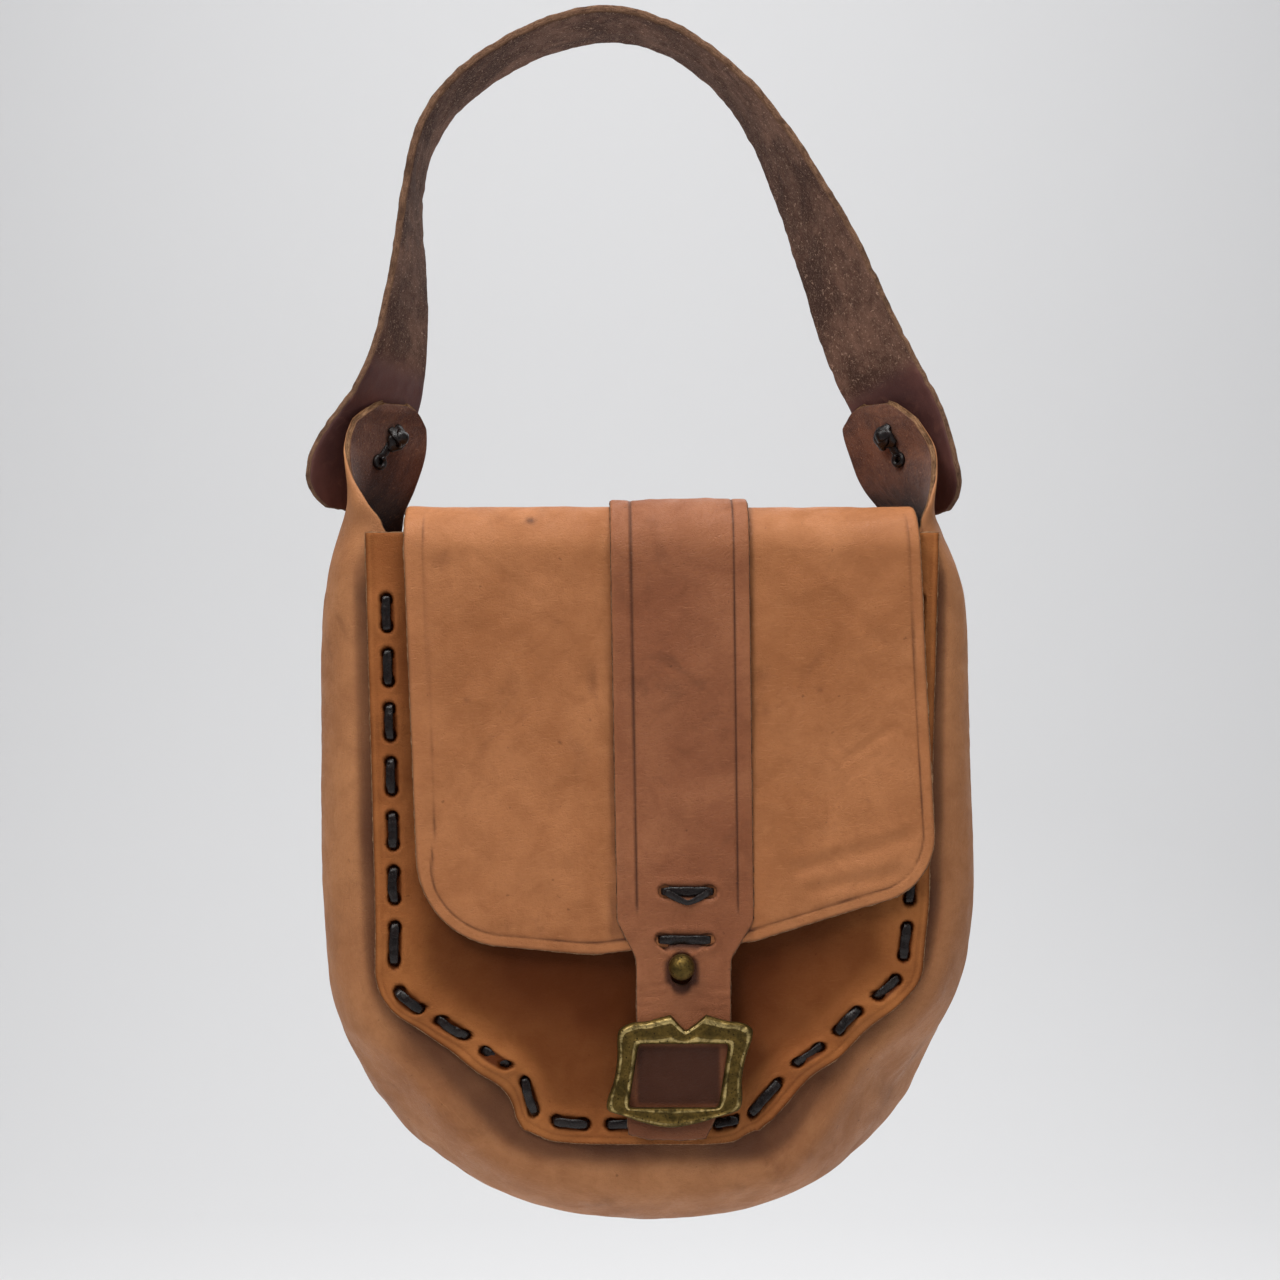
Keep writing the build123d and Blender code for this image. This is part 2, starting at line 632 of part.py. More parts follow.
left_strap_tie = strap_tie(LEFT_TIE, -1, LEFT_TIE_REACH)
right_strap_tie = strap_tie(RIGHT_TIE, 1, RIGHT_TIE_REACH)
left_strap_end -= tie_holes(LEFT_TIE, -1)
right_strap_end -= tie_holes(RIGHT_TIE, 1)
gusset -= tie_holes(LEFT_TIE, -1)
gusset -= tie_holes(RIGHT_TIE, 1)
gusset -= front_hole_pins
gusset -= back_hole_pins

# ---------------------------------------------------------------- write every piece
save("shoulder_strap", shoulder_strap)
save("left_strap_end", left_strap_end)
save("right_strap_end", right_strap_end)
save("left_strap_tie", left_strap_tie)
save("right_strap_tie", right_strap_tie)
save("gusset", gusset)
save("front_panel", front_panel)
save("back_panel", back_panel)
save("front_lacing", front_lacing)
save("back_lacing", back_lacing)
save("stud_ball", stud_ball)
save("stud_screw", stud_screw)
save("flap_top", flap_top)
save("flap_front", flap_front)
save("centre_strap_back", centre_strap_back)
save("back_strap_lace", back_strap_lace)
save("centre_strap_top", centre_strap_top)
save("centre_strap_front", centre_strap_front)
save("upper_strap_lace", upper_strap_lace)
save("lower_strap_lace", lower_strap_lace)
save("tongue", tongue)
save("buckle_frame", buckle_frame)
save("buckle_bar", buckle_bar)
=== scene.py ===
import json
import math

import bmesh
import bpy
import numpy as np
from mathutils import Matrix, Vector


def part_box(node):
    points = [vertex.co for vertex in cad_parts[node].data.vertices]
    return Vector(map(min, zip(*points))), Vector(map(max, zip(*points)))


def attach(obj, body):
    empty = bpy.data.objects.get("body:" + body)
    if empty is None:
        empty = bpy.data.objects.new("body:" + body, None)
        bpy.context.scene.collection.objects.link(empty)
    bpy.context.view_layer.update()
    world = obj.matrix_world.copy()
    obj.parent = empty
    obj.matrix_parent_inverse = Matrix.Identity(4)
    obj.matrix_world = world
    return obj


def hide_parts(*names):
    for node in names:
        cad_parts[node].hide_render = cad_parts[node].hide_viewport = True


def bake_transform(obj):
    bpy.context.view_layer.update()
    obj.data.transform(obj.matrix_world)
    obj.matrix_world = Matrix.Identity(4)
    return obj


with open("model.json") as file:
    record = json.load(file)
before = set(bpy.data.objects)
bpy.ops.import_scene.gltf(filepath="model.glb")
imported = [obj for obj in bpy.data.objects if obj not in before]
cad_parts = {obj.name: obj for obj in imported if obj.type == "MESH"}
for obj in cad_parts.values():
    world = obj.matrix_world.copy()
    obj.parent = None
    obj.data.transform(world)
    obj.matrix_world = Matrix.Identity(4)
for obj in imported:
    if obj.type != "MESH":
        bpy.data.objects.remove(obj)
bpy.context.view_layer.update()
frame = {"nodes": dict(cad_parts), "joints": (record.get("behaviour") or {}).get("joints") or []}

# Work space: millimetres, x right, y from the front panel to the back, h above the bag's mouth.
# place() turns it into the frame's metres, from where the CAD panels are.
PANEL_LOW, PANEL_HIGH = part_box("front_panel")
BACK_LOW, BACK_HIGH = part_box("back_panel")
FLAP_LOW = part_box("flap_front")[0]
TOP_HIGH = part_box("flap_top")[1]
SHIFT_X = (PANEL_LOW.x + PANEL_HIGH.x) * 500
SHIFT_Y = PANEL_LOW.y * 1000
MOUTH_Z = PANEL_HIGH.z * 1000
DEPTH = BACK_LOW.y * 1000 - SHIFT_Y
LEATHER = 2.8
STRAP_LEATHER = 3.0
FLAP_TOP = TOP_HIGH.z * 1000 - MOUTH_Z
FLAP_Y = FLAP_LOW.y * 1000 - SHIFT_Y
BACK_Y = BACK_HIGH.y * 1000 - SHIFT_Y
FRONT_BEND = 19.4
REAR_BEND = 12.0
MID_Y = 40.0
STRAP_STEP = 0.25
STRAP_X = 12  # middle of the centre strap


def place(points):
    p = np.asarray(points, float)
    return (p + np.array([SHIFT_X, SHIFT_Y, MOUTH_Z])) / 1000


# ------------------------------------------------------------------ numeric helpers
def smooth(t, low=0.0, high=1.0):
    t = np.clip((np.asarray(t, float) - low) / (high - low), 0, 1)
    return t * t * (3 - 2 * t)


def unit(v):
    n = np.linalg.norm(v, axis=-1, keepdims=True)
    return v / np.maximum(n, 1e-9)


def bell(d, width, power=2):
    """1 at distance 0, falling off within width; a higher power makes it squarer."""
    return np.exp(-((d / width) ** power))


def deepened(flat, depth=0.0):
    """Flat places with a third coordinate, as noise and rest places need."""
    return np.concatenate([flat, np.full(flat.shape[:-1] + (1,), float(depth))], -1)


def lengths(points):
    """Length along a polyline at each of its points."""
    return np.concatenate([[0], np.cumsum(np.linalg.norm(np.diff(points, axis=0), axis=1))])


def hermite(rows, knots, t):
    """Rows of numbers at lengths t of a smooth curve that has the given rows at lengths knots."""
    seg = np.diff(knots)
    m = np.zeros_like(rows)
    m[1:-1] = (rows[2:] - rows[:-2]) / (knots[2:] - knots[:-2])[:, None]
    m[0], m[-1] = (rows[1] - rows[0]) / seg[0], (rows[-1] - rows[-2]) / seg[-1]
    k = np.clip(np.searchsorted(knots, t) - 1, 0, len(seg) - 1)
    f, h = ((t - knots[k]) / seg[k])[:, None], seg[k][:, None]
    return (
        (2 * f**3 - 3 * f**2 + 1) * rows[k] + (f**3 - 2 * f**2 + f) * h * m[k]
        + (-2 * f**3 + 3 * f**2) * rows[k + 1] + (f**3 - f**2) * h * m[k + 1]
    )


def value_noise(p, seed=0):
    """Smooth lattice noise in -1..1 at the (n, 3) points p."""
    shape = p.shape[:-1]
    p = p.reshape(-1, 3)
    base = np.floor(p).astype(np.int64)
    f = p - base
    f = f * f * (3 - 2 * f)
    total = np.zeros(len(p))
    for corner in range(8):
        d = np.array([corner & 1, corner >> 1 & 1, corner >> 2 & 1])
        c = base + d
        h = (c[:, 0] * 374761393 + c[:, 1] * 668265263 + c[:, 2] * 2147483647 + seed * 144665) & 0xFFFFFFFF
        h = ((h ^ (h >> 13)) * 1274126177) & 0xFFFFFFFF
        h = ((h ^ (h >> 16)) & 0xFFFF) / 65535 * 2 - 1
        w = np.prod(np.where(d, f, 1 - f), axis=1)
        total += w * h
    return total.reshape(shape)


def fbm(p, size, octaves=3, seed=0, gain=0.5):
    total, amount = 0, 1.0
    p = np.asarray(p, float)
    for octave in range(octaves):
        total = total + amount * value_noise(p / size * 2**octave + 17.3 * octave, seed + octave)
        amount *= gain
    return total


def curve_points(points, count):
    """A Catmull-Rom curve through rows of numbers, sampled evenly along its first columns' length."""
    p = np.asarray(points, float)
    n = len(p)
    p = np.vstack([2 * p[0] - p[1], p, 2 * p[-1] - p[-2]])
    fine = []
    for i in range(n - 1):
        a, b, c, d = p[i], p[i + 1], p[i + 2], p[i + 3]
        t = np.linspace(0, 1, 24, endpoint=False)[:, None]
        fine.append(
            0.5 * (2 * b + (c - a) * t + (2 * a - 5 * b + 4 * c - d) * t**2 + (3 * b - a - 3 * c + d) * t**3)
        )
    fine.append(p[n][None])
    return resample(np.vstack(fine), count)


def resample(points, count, weights=None):
    """Evenly spaced points along a polyline, or spaced by the shares in weights."""
    p = np.asarray(points, float)
    along = lengths(p[:, : min(3, p.shape[1])])
    share = np.linspace(0, 1, count) if weights is None else weights
    return np.stack([np.interp(share * along[-1], along, p[:, k]) for k in range(p.shape[1])], axis=1)


def rounded(points, radii, step=0.7):
    """A polyline with rounded corners (open: its ends stay), as dense points."""
    p = np.asarray(points, float)
    out = [p[0]]
    for i in range(1, len(p) - 1):
        r = radii[i]
        a, b, c = p[i - 1], p[i], p[i + 1]
        u, v = unit(a - b), unit(c - b)
        angle = math.acos(np.clip(u @ v, -1, 1))
        if r <= 0 or angle > 3.1:
            out.append(b)
            continue
        cut = min(r / math.tan(angle / 2), 0.49 * np.linalg.norm(a - b), 0.49 * np.linalg.norm(c - b))
        r = cut * math.tan(angle / 2)
        centre = b + unit(u + v) * (r / math.sin(angle / 2))
        start, end = b + u * cut, b + v * cut
        turn = math.pi - angle
        n = max(3, int(r * turn / step))
        for t in np.linspace(0, 1, n):
            x, y = start - centre, end - centre
            w = turn
            out.append(centre + (math.sin((1 - t) * w) * x + math.sin(t * w) * y) / math.sin(w))
    out.append(p[-1])
    return resample(np.array(out), max(4, int(np.linalg.norm(np.diff(out, axis=0), axis=1).sum() / step)))


def shares(length, edge_low, edge_high, fine, coarse, band=15.0):
    """Spacing shares along a length, fine within band of the ends that ask for it."""
    marks = [0.0]
    while marks[-1] < length:
        at = marks[-1]
        near = (edge_low and at < band) or (edge_high and at > length - band)
        marks.append(at + (fine if near else coarse))
    marks = np.array(marks)
    return marks / marks[-1]


def coons(left, right, top, bottom, u, v):
    """A grid of 2-D points between four edges; left and right run from top to bottom."""
    lft, rgt = resample(left, len(v), v), resample(right, len(v), v)
    tp, bt = resample(top, len(u), u), resample(bottom, len(u), u)
    uu, vv = u[None, :, None], v[:, None, None]
    ruled_a = (1 - uu) * lft[:, None] + uu * rgt[:, None]
    ruled_b = (1 - vv) * tp[None] + vv * bt[None]
    corner = (
        (1 - uu) * (1 - vv) * tp[0] + uu * (1 - vv) * tp[-1] + (1 - uu) * vv * bt[0] + uu * vv * bt[-1]
    )
    return ruled_a + ruled_b - corner


def distance_to(points, line):
    """Distance of each 2-D point to a dense polyline's points."""
    flat = points.reshape(-1, 2)
    out = np.empty(len(flat))
    for i in range(0, len(flat), 4000):
        d = flat[i : i + 4000, None] - line[None]
        out[i : i + 4000] = np.sqrt((d**2).sum(2).min(1))
    return out.reshape(points.shape[:-1])


def distance_to_segment(points, a, b):
    a, b = np.asarray(a, float), np.asarray(b, float)
    ab = b - a
    t = np.clip(((points - a) @ ab) / (ab @ ab), 0, 1)
    return np.linalg.norm(points - a - t[..., None] * ab, axis=-1)


# ------------------------------------------------------------------ mesh helpers
def make_object(name, points, faces, materials, face_slots=None, rest=None, marks=None, sharp=()):
    """A mesh from millimetres, with "rest" places for its material's noise and marks by name."""
    mesh = bpy.data.meshes.new(name)
    mesh.from_pydata(place(points).tolist(), [], faces)
    mesh.polygons.foreach_set("use_smooth", np.ones(len(mesh.polygons), bool))
    for m in materials:
        mesh.materials.append(m)
    if face_slots is not None:
        mesh.polygons.foreach_set("material_index", np.asarray(face_slots, np.int32))
    rest = np.asarray(points if rest is None else rest, float)
    at = mesh.attributes.new("rest", "FLOAT_VECTOR", "POINT")
    at.data.foreach_set("vector", rest.astype(np.float32).ravel())
    for key, value in (marks or {}).items():
        at = mesh.attributes.new(key, "FLOAT", "POINT")
        at.data.foreach_set("value", np.asarray(value, np.float32).ravel())
    mesh.validate()
    clean = bmesh.new()
    clean.from_mesh(mesh)
    clean.verts.ensure_lookup_table()
    for a, b in sharp:
        clean.edges.get((clean.verts[a], clean.verts[b])).smooth = False
    bmesh.ops.delete(clean, geom=[v for v in clean.verts if not v.link_faces], context="VERTS")
    clean.to_mesh(mesh)
    clean.free()
    mesh.update()
    obj = bpy.data.objects.new(name, mesh)
    bpy.context.scene.collection.objects.link(obj)
    return obj


def grid_faces(rows, cols, start=0, flip=False):
    i = np.arange(rows - 1)[:, None] * cols + np.arange(cols - 1)[None] + start
    quads = np.stack([i, i + cols, i + cols + 1, i + 1], axis=-1).reshape(-1, 4)
    return (quads[:, ::-1] if flip else quads).tolist()


def grid_normals(grid):
    du = np.gradient(grid, axis=1)
    dv = np.gradient(grid, axis=0)
    return unit(np.cross(dv, du))


def border_of(rows, cols):
    top = [(0, c) for c in range(cols - 1)]
    right = [(r, cols - 1) for r in range(rows - 1)]
    bottom = [(rows - 1, c) for c in range(cols - 1, 0, -1)]
    left = [(r, 0) for r in range(rows - 1, 0, -1)]
    return top + right + bottom + left


def leather_sheet(
    name, base, normals, thickness, materials, flat, marks=None, bump=None, open_sides="", hole=None
):
    """A thick leather sheet on a grid: base is its outer face.  The cut edge is a slightly bulged rim.
    On an open side ("t" or "b" for the first or last row) the rim is square, for a joint with another piece.
    hole is a block of the grid (first row, last row, first column, last column) that is left out."""
    rows, cols = base.shape[:2]
    outer = base if bump is None else base + normals * bump[..., None]
    follow = 0 if bump is None else np.clip(bump, -1.0, 3.0)[..., None]
    inner = base + normals * (follow - thickness)
    ring = border_of(rows, cols)
    idx = np.array([r * cols + c for r, c in ring])
    inner_col = [0 < c < cols - 1 for r, c in ring]
    on_open = [("t" in open_sides and r == 0) or ("b" in open_sides and r == rows - 1) for r, c in ring]
    soft = ~np.array([a and b for a, b in zip(on_open, inner_col)])
    o, i = outer.reshape(-1, 3)[idx], inner.reshape(-1, 3)[idx]
    n = normals.reshape(-1, 3)[idx]
    along = np.roll(o, -1, 0) - np.roll(o, 1, 0)
    out = unit(np.cross(along, n))
    middle = outer.reshape(-1, 3).mean(0)
    if np.mean(np.einsum("ij,ij->i", out, o - middle)) < 0:
        out = -out
    rough = 0.22 * fbm(o, 1.6, 2, 5)[:, None]
    w = soft[:, None]
    span = o - i
    flat_outer = outer.reshape(-1, 3).copy()
    flat_outer[idx] -= n * 0.32 * w
    flat_inner = inner.reshape(-1, 3).copy()
    flat_inner[idx] += n * 0.28 * w
    ring_a = o - 0.22 * span + out * (0.34 + rough) * w
    ring_b = o - 0.5 * span + out * (0.42 + 1.3 * rough) * w
    ring_c = o - 0.8 * span + out * (0.22 - rough) * w
    points = np.vstack([flat_outer, flat_inner, ring_a, ring_b, ring_c])
    count, m = rows * cols, len(ring)
    keep = np.ones((rows - 1, cols - 1), bool)
    if hole:
        keep[hole[0] : hole[1], hole[2] : hole[3]] = False
    keep = keep.ravel()
    top_faces = [f for f, k in zip(grid_faces(rows, cols), keep) if k]
    low_faces = [f for f, k in zip(grid_faces(rows, cols, count, True), keep) if k]
    faces = top_faces + low_faces
    kinds = [0] * len(top_faces) + [2] * len(low_faces)
    loops = [idx, *(2 * count + part * m + np.arange(m) for part in range(3)), idx + count]
    sharp = []
    for k in range(m):
        j = (k + 1) % m
        if on_open[k] and on_open[j] and ring[k][0] == ring[j][0]:
            sharp += [(int(idx[k]), int(idx[j])), (int(idx[k]) + count, int(idx[j]) + count)]
        for first, second in zip(loops, loops[1:]):
            faces.append([int(first[j]), int(second[j]), int(second[k]), int(first[k])])
            kinds.append(1)
    if hole:
        r0, r1, c0, c1 = hole
        around = [(r0, c) for c in range(c0, c1)] + [(r, c1) for r in range(r0, r1)]
        around += [(r1, c) for c in range(c1, c0, -1)] + [(r, c0) for r in range(r1, r0, -1)]
        wall = [r * cols + c for r, c in around]
        for a, b in zip(wall, wall[1:] + wall[:1]):
            faces.append([a, a + count, b + count, b])
            kinds.append(1)
    flat3 = deepened(flat).reshape(-1, 3)
    deep = flat3 + np.array([0, 0, 60.0])
    rest = np.vstack([flat3, deep] + [flat3[idx] + [0, 0, d] for d in (0.6, 1.4, 2.2)])
    all_marks = {}
    for key, value in (marks or {}).items():
        v = np.asarray(value, float).reshape(-1)
        all_marks[key] = np.concatenate([v, v] + [v[idx]] * 3)
    facing = np.einsum("ij,ij->i", normals.reshape(-1, 3), grid_normals(base).reshape(-1, 3)).mean()
    if facing < 0:
        faces = [f[::-1] for f in faces]
    return make_object(name, points, faces, materials, kinds, rest, all_marks, sharp)


def join(parts):
    """The points, faces and rest places of several strands as one mesh's data."""
    faces, at = [], 0
    for part in parts:
        faces += [[k + at for k in f] for f in part["faces"]]
        at += len(part["points"])
    return np.vstack([part["points"] for part in parts]), faces, np.vstack([part["rest"] for part in parts])


def ring_faces(rings, around):
    """The quads between rings of points, each with the same number around."""
    faces = []
    for i in range(rings - 1):
        for k in range(around):
            j = (k + 1) % around
            faces.append([i * around + k, i * around + j, (i + 1) * around + j, (i + 1) * around + k])
    return faces


def tube(path, sides_dir, width, thick, around=10, power=2.6, rest_shift=0.0):
    """A swept strand: path (n, 3), width direction, width and thickness per point, closed ends."""
    path = np.asarray(path, float)
    n = len(path)
    tangent = unit(np.gradient(path, axis=0))
    side = unit(sides_dir - np.einsum("ij,ij->i", sides_dir, tangent)[:, None] * tangent)
    up = np.cross(side, tangent)
    a = np.linspace(0, 2 * math.pi, around, endpoint=False)
    ca, sa = np.cos(a), np.sin(a)
    sx = np.sign(ca) * np.abs(ca) ** (2 / power)
    sy = np.sign(sa) * np.abs(sa) ** (2 / power)
    w = np.broadcast_to(np.asarray(width, float), (n,)) / 2
    t = np.broadcast_to(np.asarray(thick, float), (n,)) / 2
    points = (
        path[:, None]
        + side[:, None] * (w[:, None] * sx[None])[..., None]
        + up[:, None] * (t[:, None] * sy[None])[..., None]
    ).reshape(-1, 3)
    length = lengths(path)
    rest = np.stack(
        [np.repeat(length, around) + rest_shift, np.tile(a, n) * 1.6, np.full(n * around, rest_shift)], axis=1
    )
    faces = ring_faces(n, around)
    first, last = len(points), len(points) + 1
    points = np.vstack([points, path[0] - tangent[0] * t[0] * 0.5, path[-1] + tangent[-1] * t[-1] * 0.5])
    rest = np.vstack([rest, rest[0], rest[-1]])
    for k in range(around):
        j = (k + 1) % around
        faces.append([first, j, k])
        faces.append([last, (n - 1) * around + k, (n - 1) * around + j])
    return {"points": points, "faces": [f[::-1] for f in faces], "rest": rest}


# ------------------------------------------------------------------ materials
def colour(r, g, b):
    """A colour picked in sRGB 0-255, as the linear value that shaders use."""
    c = np.array([r, g, b]) / 255
    c = np.where(c <= 0.04045, c / 12.92, ((c + 0.055) / 1.055) ** 2.4)
    return (*c.tolist(), 1.0)


class Nodes:
    """A small wrapper to write node trees briefly."""

    def __init__(self, name):
        self.material = bpy.data.materials.new(name)
        self.material.use_nodes = True
        self.tree = self.material.node_tree
        self.shader = self.tree.nodes["Principled BSDF"]

    def new(self, kind, **values):
        node = self.tree.nodes.new(kind)
        for key, value in values.items():
            setattr(node, key, value)
        return node

    def link(self, a, b):
        self.tree.links.new(a, b)

    def put(self, node, key, value):
        if isinstance(value, bpy.types.NodeSocket):
            self.link(value, node.inputs[key])
        elif value is not None:
            node.inputs[key].default_value = value

    def attribute(self, name, vector=False):
        node = self.new("ShaderNodeAttribute", attribute_name=name)
        return node.outputs["Vector" if vector else "Fac"]

    def scaled(self, vector, scale):
        node = self.new("ShaderNodeMapping")
        self.put(node, "Vector", vector)
        node.inputs["Scale"].default_value = scale
        return node.outputs["Vector"]

    def noise(self, vector, scale, detail=3.0, rough=0.55, distortion=0.0):
        node = self.new("ShaderNodeTexNoise")
        self.put(node, "Vector", vector)
        self.put(node, "Scale", scale)
        self.put(node, "Detail", detail)
        self.put(node, "Roughness", rough)
        self.put(node, "Distortion", distortion)
        return node.outputs["Fac"]

    def cells(self, vector, scale, feature="DISTANCE_TO_EDGE"):
        node = self.new("ShaderNodeTexVoronoi", feature=feature)
        self.put(node, "Vector", vector)
        self.put(node, "Scale", scale)
        return node.outputs["Distance"]

    def fit(self, value, low, high, to_low=0.0, to_high=1.0):
        node = self.new("ShaderNodeMapRange", interpolation_type="SMOOTHSTEP")
        self.put(node, "Value", value)
        for key, number in zip(("From Min", "From Max", "To Min", "To Max"), (low, high, to_low, to_high)):
            self.put(node, key, number)
        return node.outputs["Result"]

    def math(self, operation, a, b=None, clamp=False):
        node = self.new("ShaderNodeMath", operation=operation, use_clamp=clamp)
        self.put(node, 0, a)
        if b is not None:
            self.put(node, 1, b)
        return node.outputs[0]

    def mix(self, amount, a, b):
        node = self.new("ShaderNodeMix", data_type="RGBA", blend_type="MIX")
        self.put(node, 0, amount)
        self.put(node, 6, a)
        self.put(node, 7, b)
        return node.outputs[2]

    def bump(self, height, strength, distance):
        node = self.new("ShaderNodeBump")
        self.put(node, "Strength", strength)
        self.put(node, "Distance", distance)
        self.put(node, "Height", height)
        return node.outputs["Normal"]

    def set(self, **values):
        for key, value in values.items():
            self.put(self.shader, key.replace("_", " "), value)


def leather(name, light, base, dark, stain_and_shade, grain=1.0, shine=0.26):
    """Smooth aniline leather: mottled colour, pores, fine creases, scratches; darkened by "mark", which holds
    both stains and painted shade, and lightened where rubbed, with some painted highlights.
    """
    n = Nodes(name)
    rest = n.attribute("rest", True)
    mark = n.attribute("mark")
    wear = n.attribute("wear")
    broad = n.noise(rest, 0.016, 4, 0.6, 0.4)
    middle = n.noise(rest, 0.075, 5, 0.62, 0.6)
    small = n.noise(rest, 0.55, 4, 0.6)
    tone = n.mix(n.fit(broad, 0.30, 0.70), base, light)
    tone = n.mix(n.fit(middle, 0.36, 0.74, 0.0, 0.36), tone, dark)
    tone = n.mix(n.fit(small, 0.42, 0.72, 0.0, 0.16), tone, dark)
    blot = n.noise(rest, 0.028, 6, 0.66, 0.9)
    tone = n.mix(n.fit(blot, 0.56, 0.74, 0.0, 0.30), tone, stain_and_shade)
    speck = n.noise(rest, 0.33, 2, 0.4)
    tone = n.mix(n.fit(speck, 0.72, 0.78, 0.0, 0.45), tone, stain_and_shade)
    long_way = n.scaled(rest, (0.09, 0.9, 0.5))
    crossing = n.new("ShaderNodeVectorRotate", rotation_type="Z_AXIS")
    n.put(crossing, "Vector", long_way)
    n.put(crossing, "Angle", 0.9)
    line_a = n.noise(long_way, 1.4, 2, 0.5, 0.8)
    line_b = n.noise(crossing.outputs[0], 1.7, 2, 0.5, 0.8)
    marks_a = n.fit(line_a, 0.665, 0.70)
    marks_b = n.fit(line_b, 0.655, 0.70)
    scratches = n.math("MULTIPLY", n.math("MAXIMUM", marks_a, marks_b), 0.45)
    tone = n.mix(scratches, tone, light)
    tone = n.mix(n.math("MULTIPLY", wear, 0.5, True), tone, light)
    # the darkest colour here paints both stains and painted shade
    tone = n.mix(n.fit(mark, 0.0, 1.0), tone, stain_and_shade)
    n.set(Base_Color=tone)
    pores = n.fit(n.cells(rest, 0.95, "F1"), 0.10, 0.42)
    creases = n.fit(n.cells(n.scaled(rest, (1, 1.25, 1)), 0.62), 0.0, 0.11)
    fine = n.noise(rest, 1.8, 3, 0.6)
    height = n.math("MULTIPLY", pores, 0.35)
    height = n.math("ADD", height, n.math("MULTIPLY", creases, 0.55 * grain))
    height = n.math("ADD", height, n.math("MULTIPLY", fine, 0.5))
    height = n.math("ADD", height, n.math("MULTIPLY", small, 0.9))
    height = n.math("SUBTRACT", height, n.math("MULTIPLY", scratches, 0.8))
    n.set(Normal=n.bump(height, 0.42 * grain, 0.0005))
    polish = n.fit(middle, 0.3, 0.7, 0.42, 0.62)
    polish = n.math("ADD", polish, n.math("MULTIPLY", small, 0.12))
    n.set(Roughness=polish)
    n.set(Specular_IOR_Level=shine)
    return n.material


def suede(name, light, base, dark, nap=1.0):
    """Brushed flesh side: no gloss, short matted fibres, light flecks."""
    n = Nodes(name)
    rest = n.attribute("rest", True)
    mark = n.attribute("mark")
    broad = n.noise(rest, 0.03, 4, 0.65, 0.5)
    middle = n.noise(rest, 0.16, 5, 0.7, 0.8)
    fibre = n.noise(n.scaled(rest, (0.55, 1.5, 1)), 1.3, 5, 0.75, 1.5)
    fleck = n.noise(rest, 0.85, 3, 0.6, 1.0)
    tone = n.mix(n.fit(broad, 0.35, 0.65), dark, base)
    tone = n.mix(n.fit(middle, 0.42, 0.68, 0.0, 0.75), tone, dark)
    tone = n.mix(n.fit(fibre, 0.50, 0.68, 0.0, 0.55), tone, light)
    tone = n.mix(n.fit(fleck, 0.60, 0.68, 0.0, 0.75), tone, light)
    tone = n.mix(n.fit(mark, 0.0, 1.0), tone, dark)
    n.set(Base_Color=tone)
    height = n.math("ADD", n.math("MULTIPLY", fibre, 1.0), n.math("MULTIPLY", middle, 0.8))
    n.set(Normal=n.bump(height, 0.75 * nap, 0.0009))
    n.set(Roughness=0.94)
    n.set(Specular_IOR_Level=0.15)
    n.set(Sheen_Weight=0.18)
    n.set(Sheen_Roughness=0.5)
    return n.material


def cut_edge(name, light, base, dark):
    """Raw cut edge: layered fibres along the edge."""
    n = Nodes(name)
    rest = n.attribute("rest", True)
    layers = n.noise(n.scaled(rest, (0.35, 0.35, 3.2)), 1.0, 4, 0.7, 0.6)
    fuzz = n.noise(rest, 1.9, 5, 0.75, 0.8)
    blots = n.noise(rest, 0.12, 3, 0.6)
    tone = n.mix(n.fit(layers, 0.38, 0.62), base, light)
    tone = n.mix(n.fit(fuzz, 0.48, 0.68, 0.0, 0.8), tone, dark)
    tone = n.mix(n.fit(blots, 0.48, 0.68, 0.0, 0.6), tone, dark)
    n.set(Base_Color=tone)
    height = n.math("ADD", layers, fuzz)
    n.set(Normal=n.bump(height, 0.8, 0.0008))
    n.set(Roughness=0.9)
    n.set(Specular_IOR_Level=0.2)
    return n.material


def waxed_lace(name):
    n = Nodes(name)
    rest = n.attribute("rest", True)
    streak = n.noise(n.scaled(rest, (0.25, 1.6, 1)), 1.2, 4, 0.6, 0.3)
    worn = n.noise(rest, 0.45, 4, 0.65, 0.6)
    tone = n.mix(n.fit(streak, 0.35, 0.7), colour(13, 7, 6), colour(26, 14, 12))
    tone = n.mix(n.fit(worn, 0.66, 0.80, 0.0, 0.4), tone, colour(70, 44, 34))
    n.set(Base_Color=tone)
    height = n.math("ADD", n.math("MULTIPLY", streak, 0.7), n.math("MULTIPLY", worn, 0.8))
    n.set(Normal=n.bump(height, 0.5, 0.0005))
    n.set(Roughness=n.fit(worn, 0.35, 0.7, 0.20, 0.42))
    n.set(Specular_IOR_Level=0.32)
    n.set(Coat_Weight=0.08)
    n.set(Coat_Roughness=0.22)
    return n.material


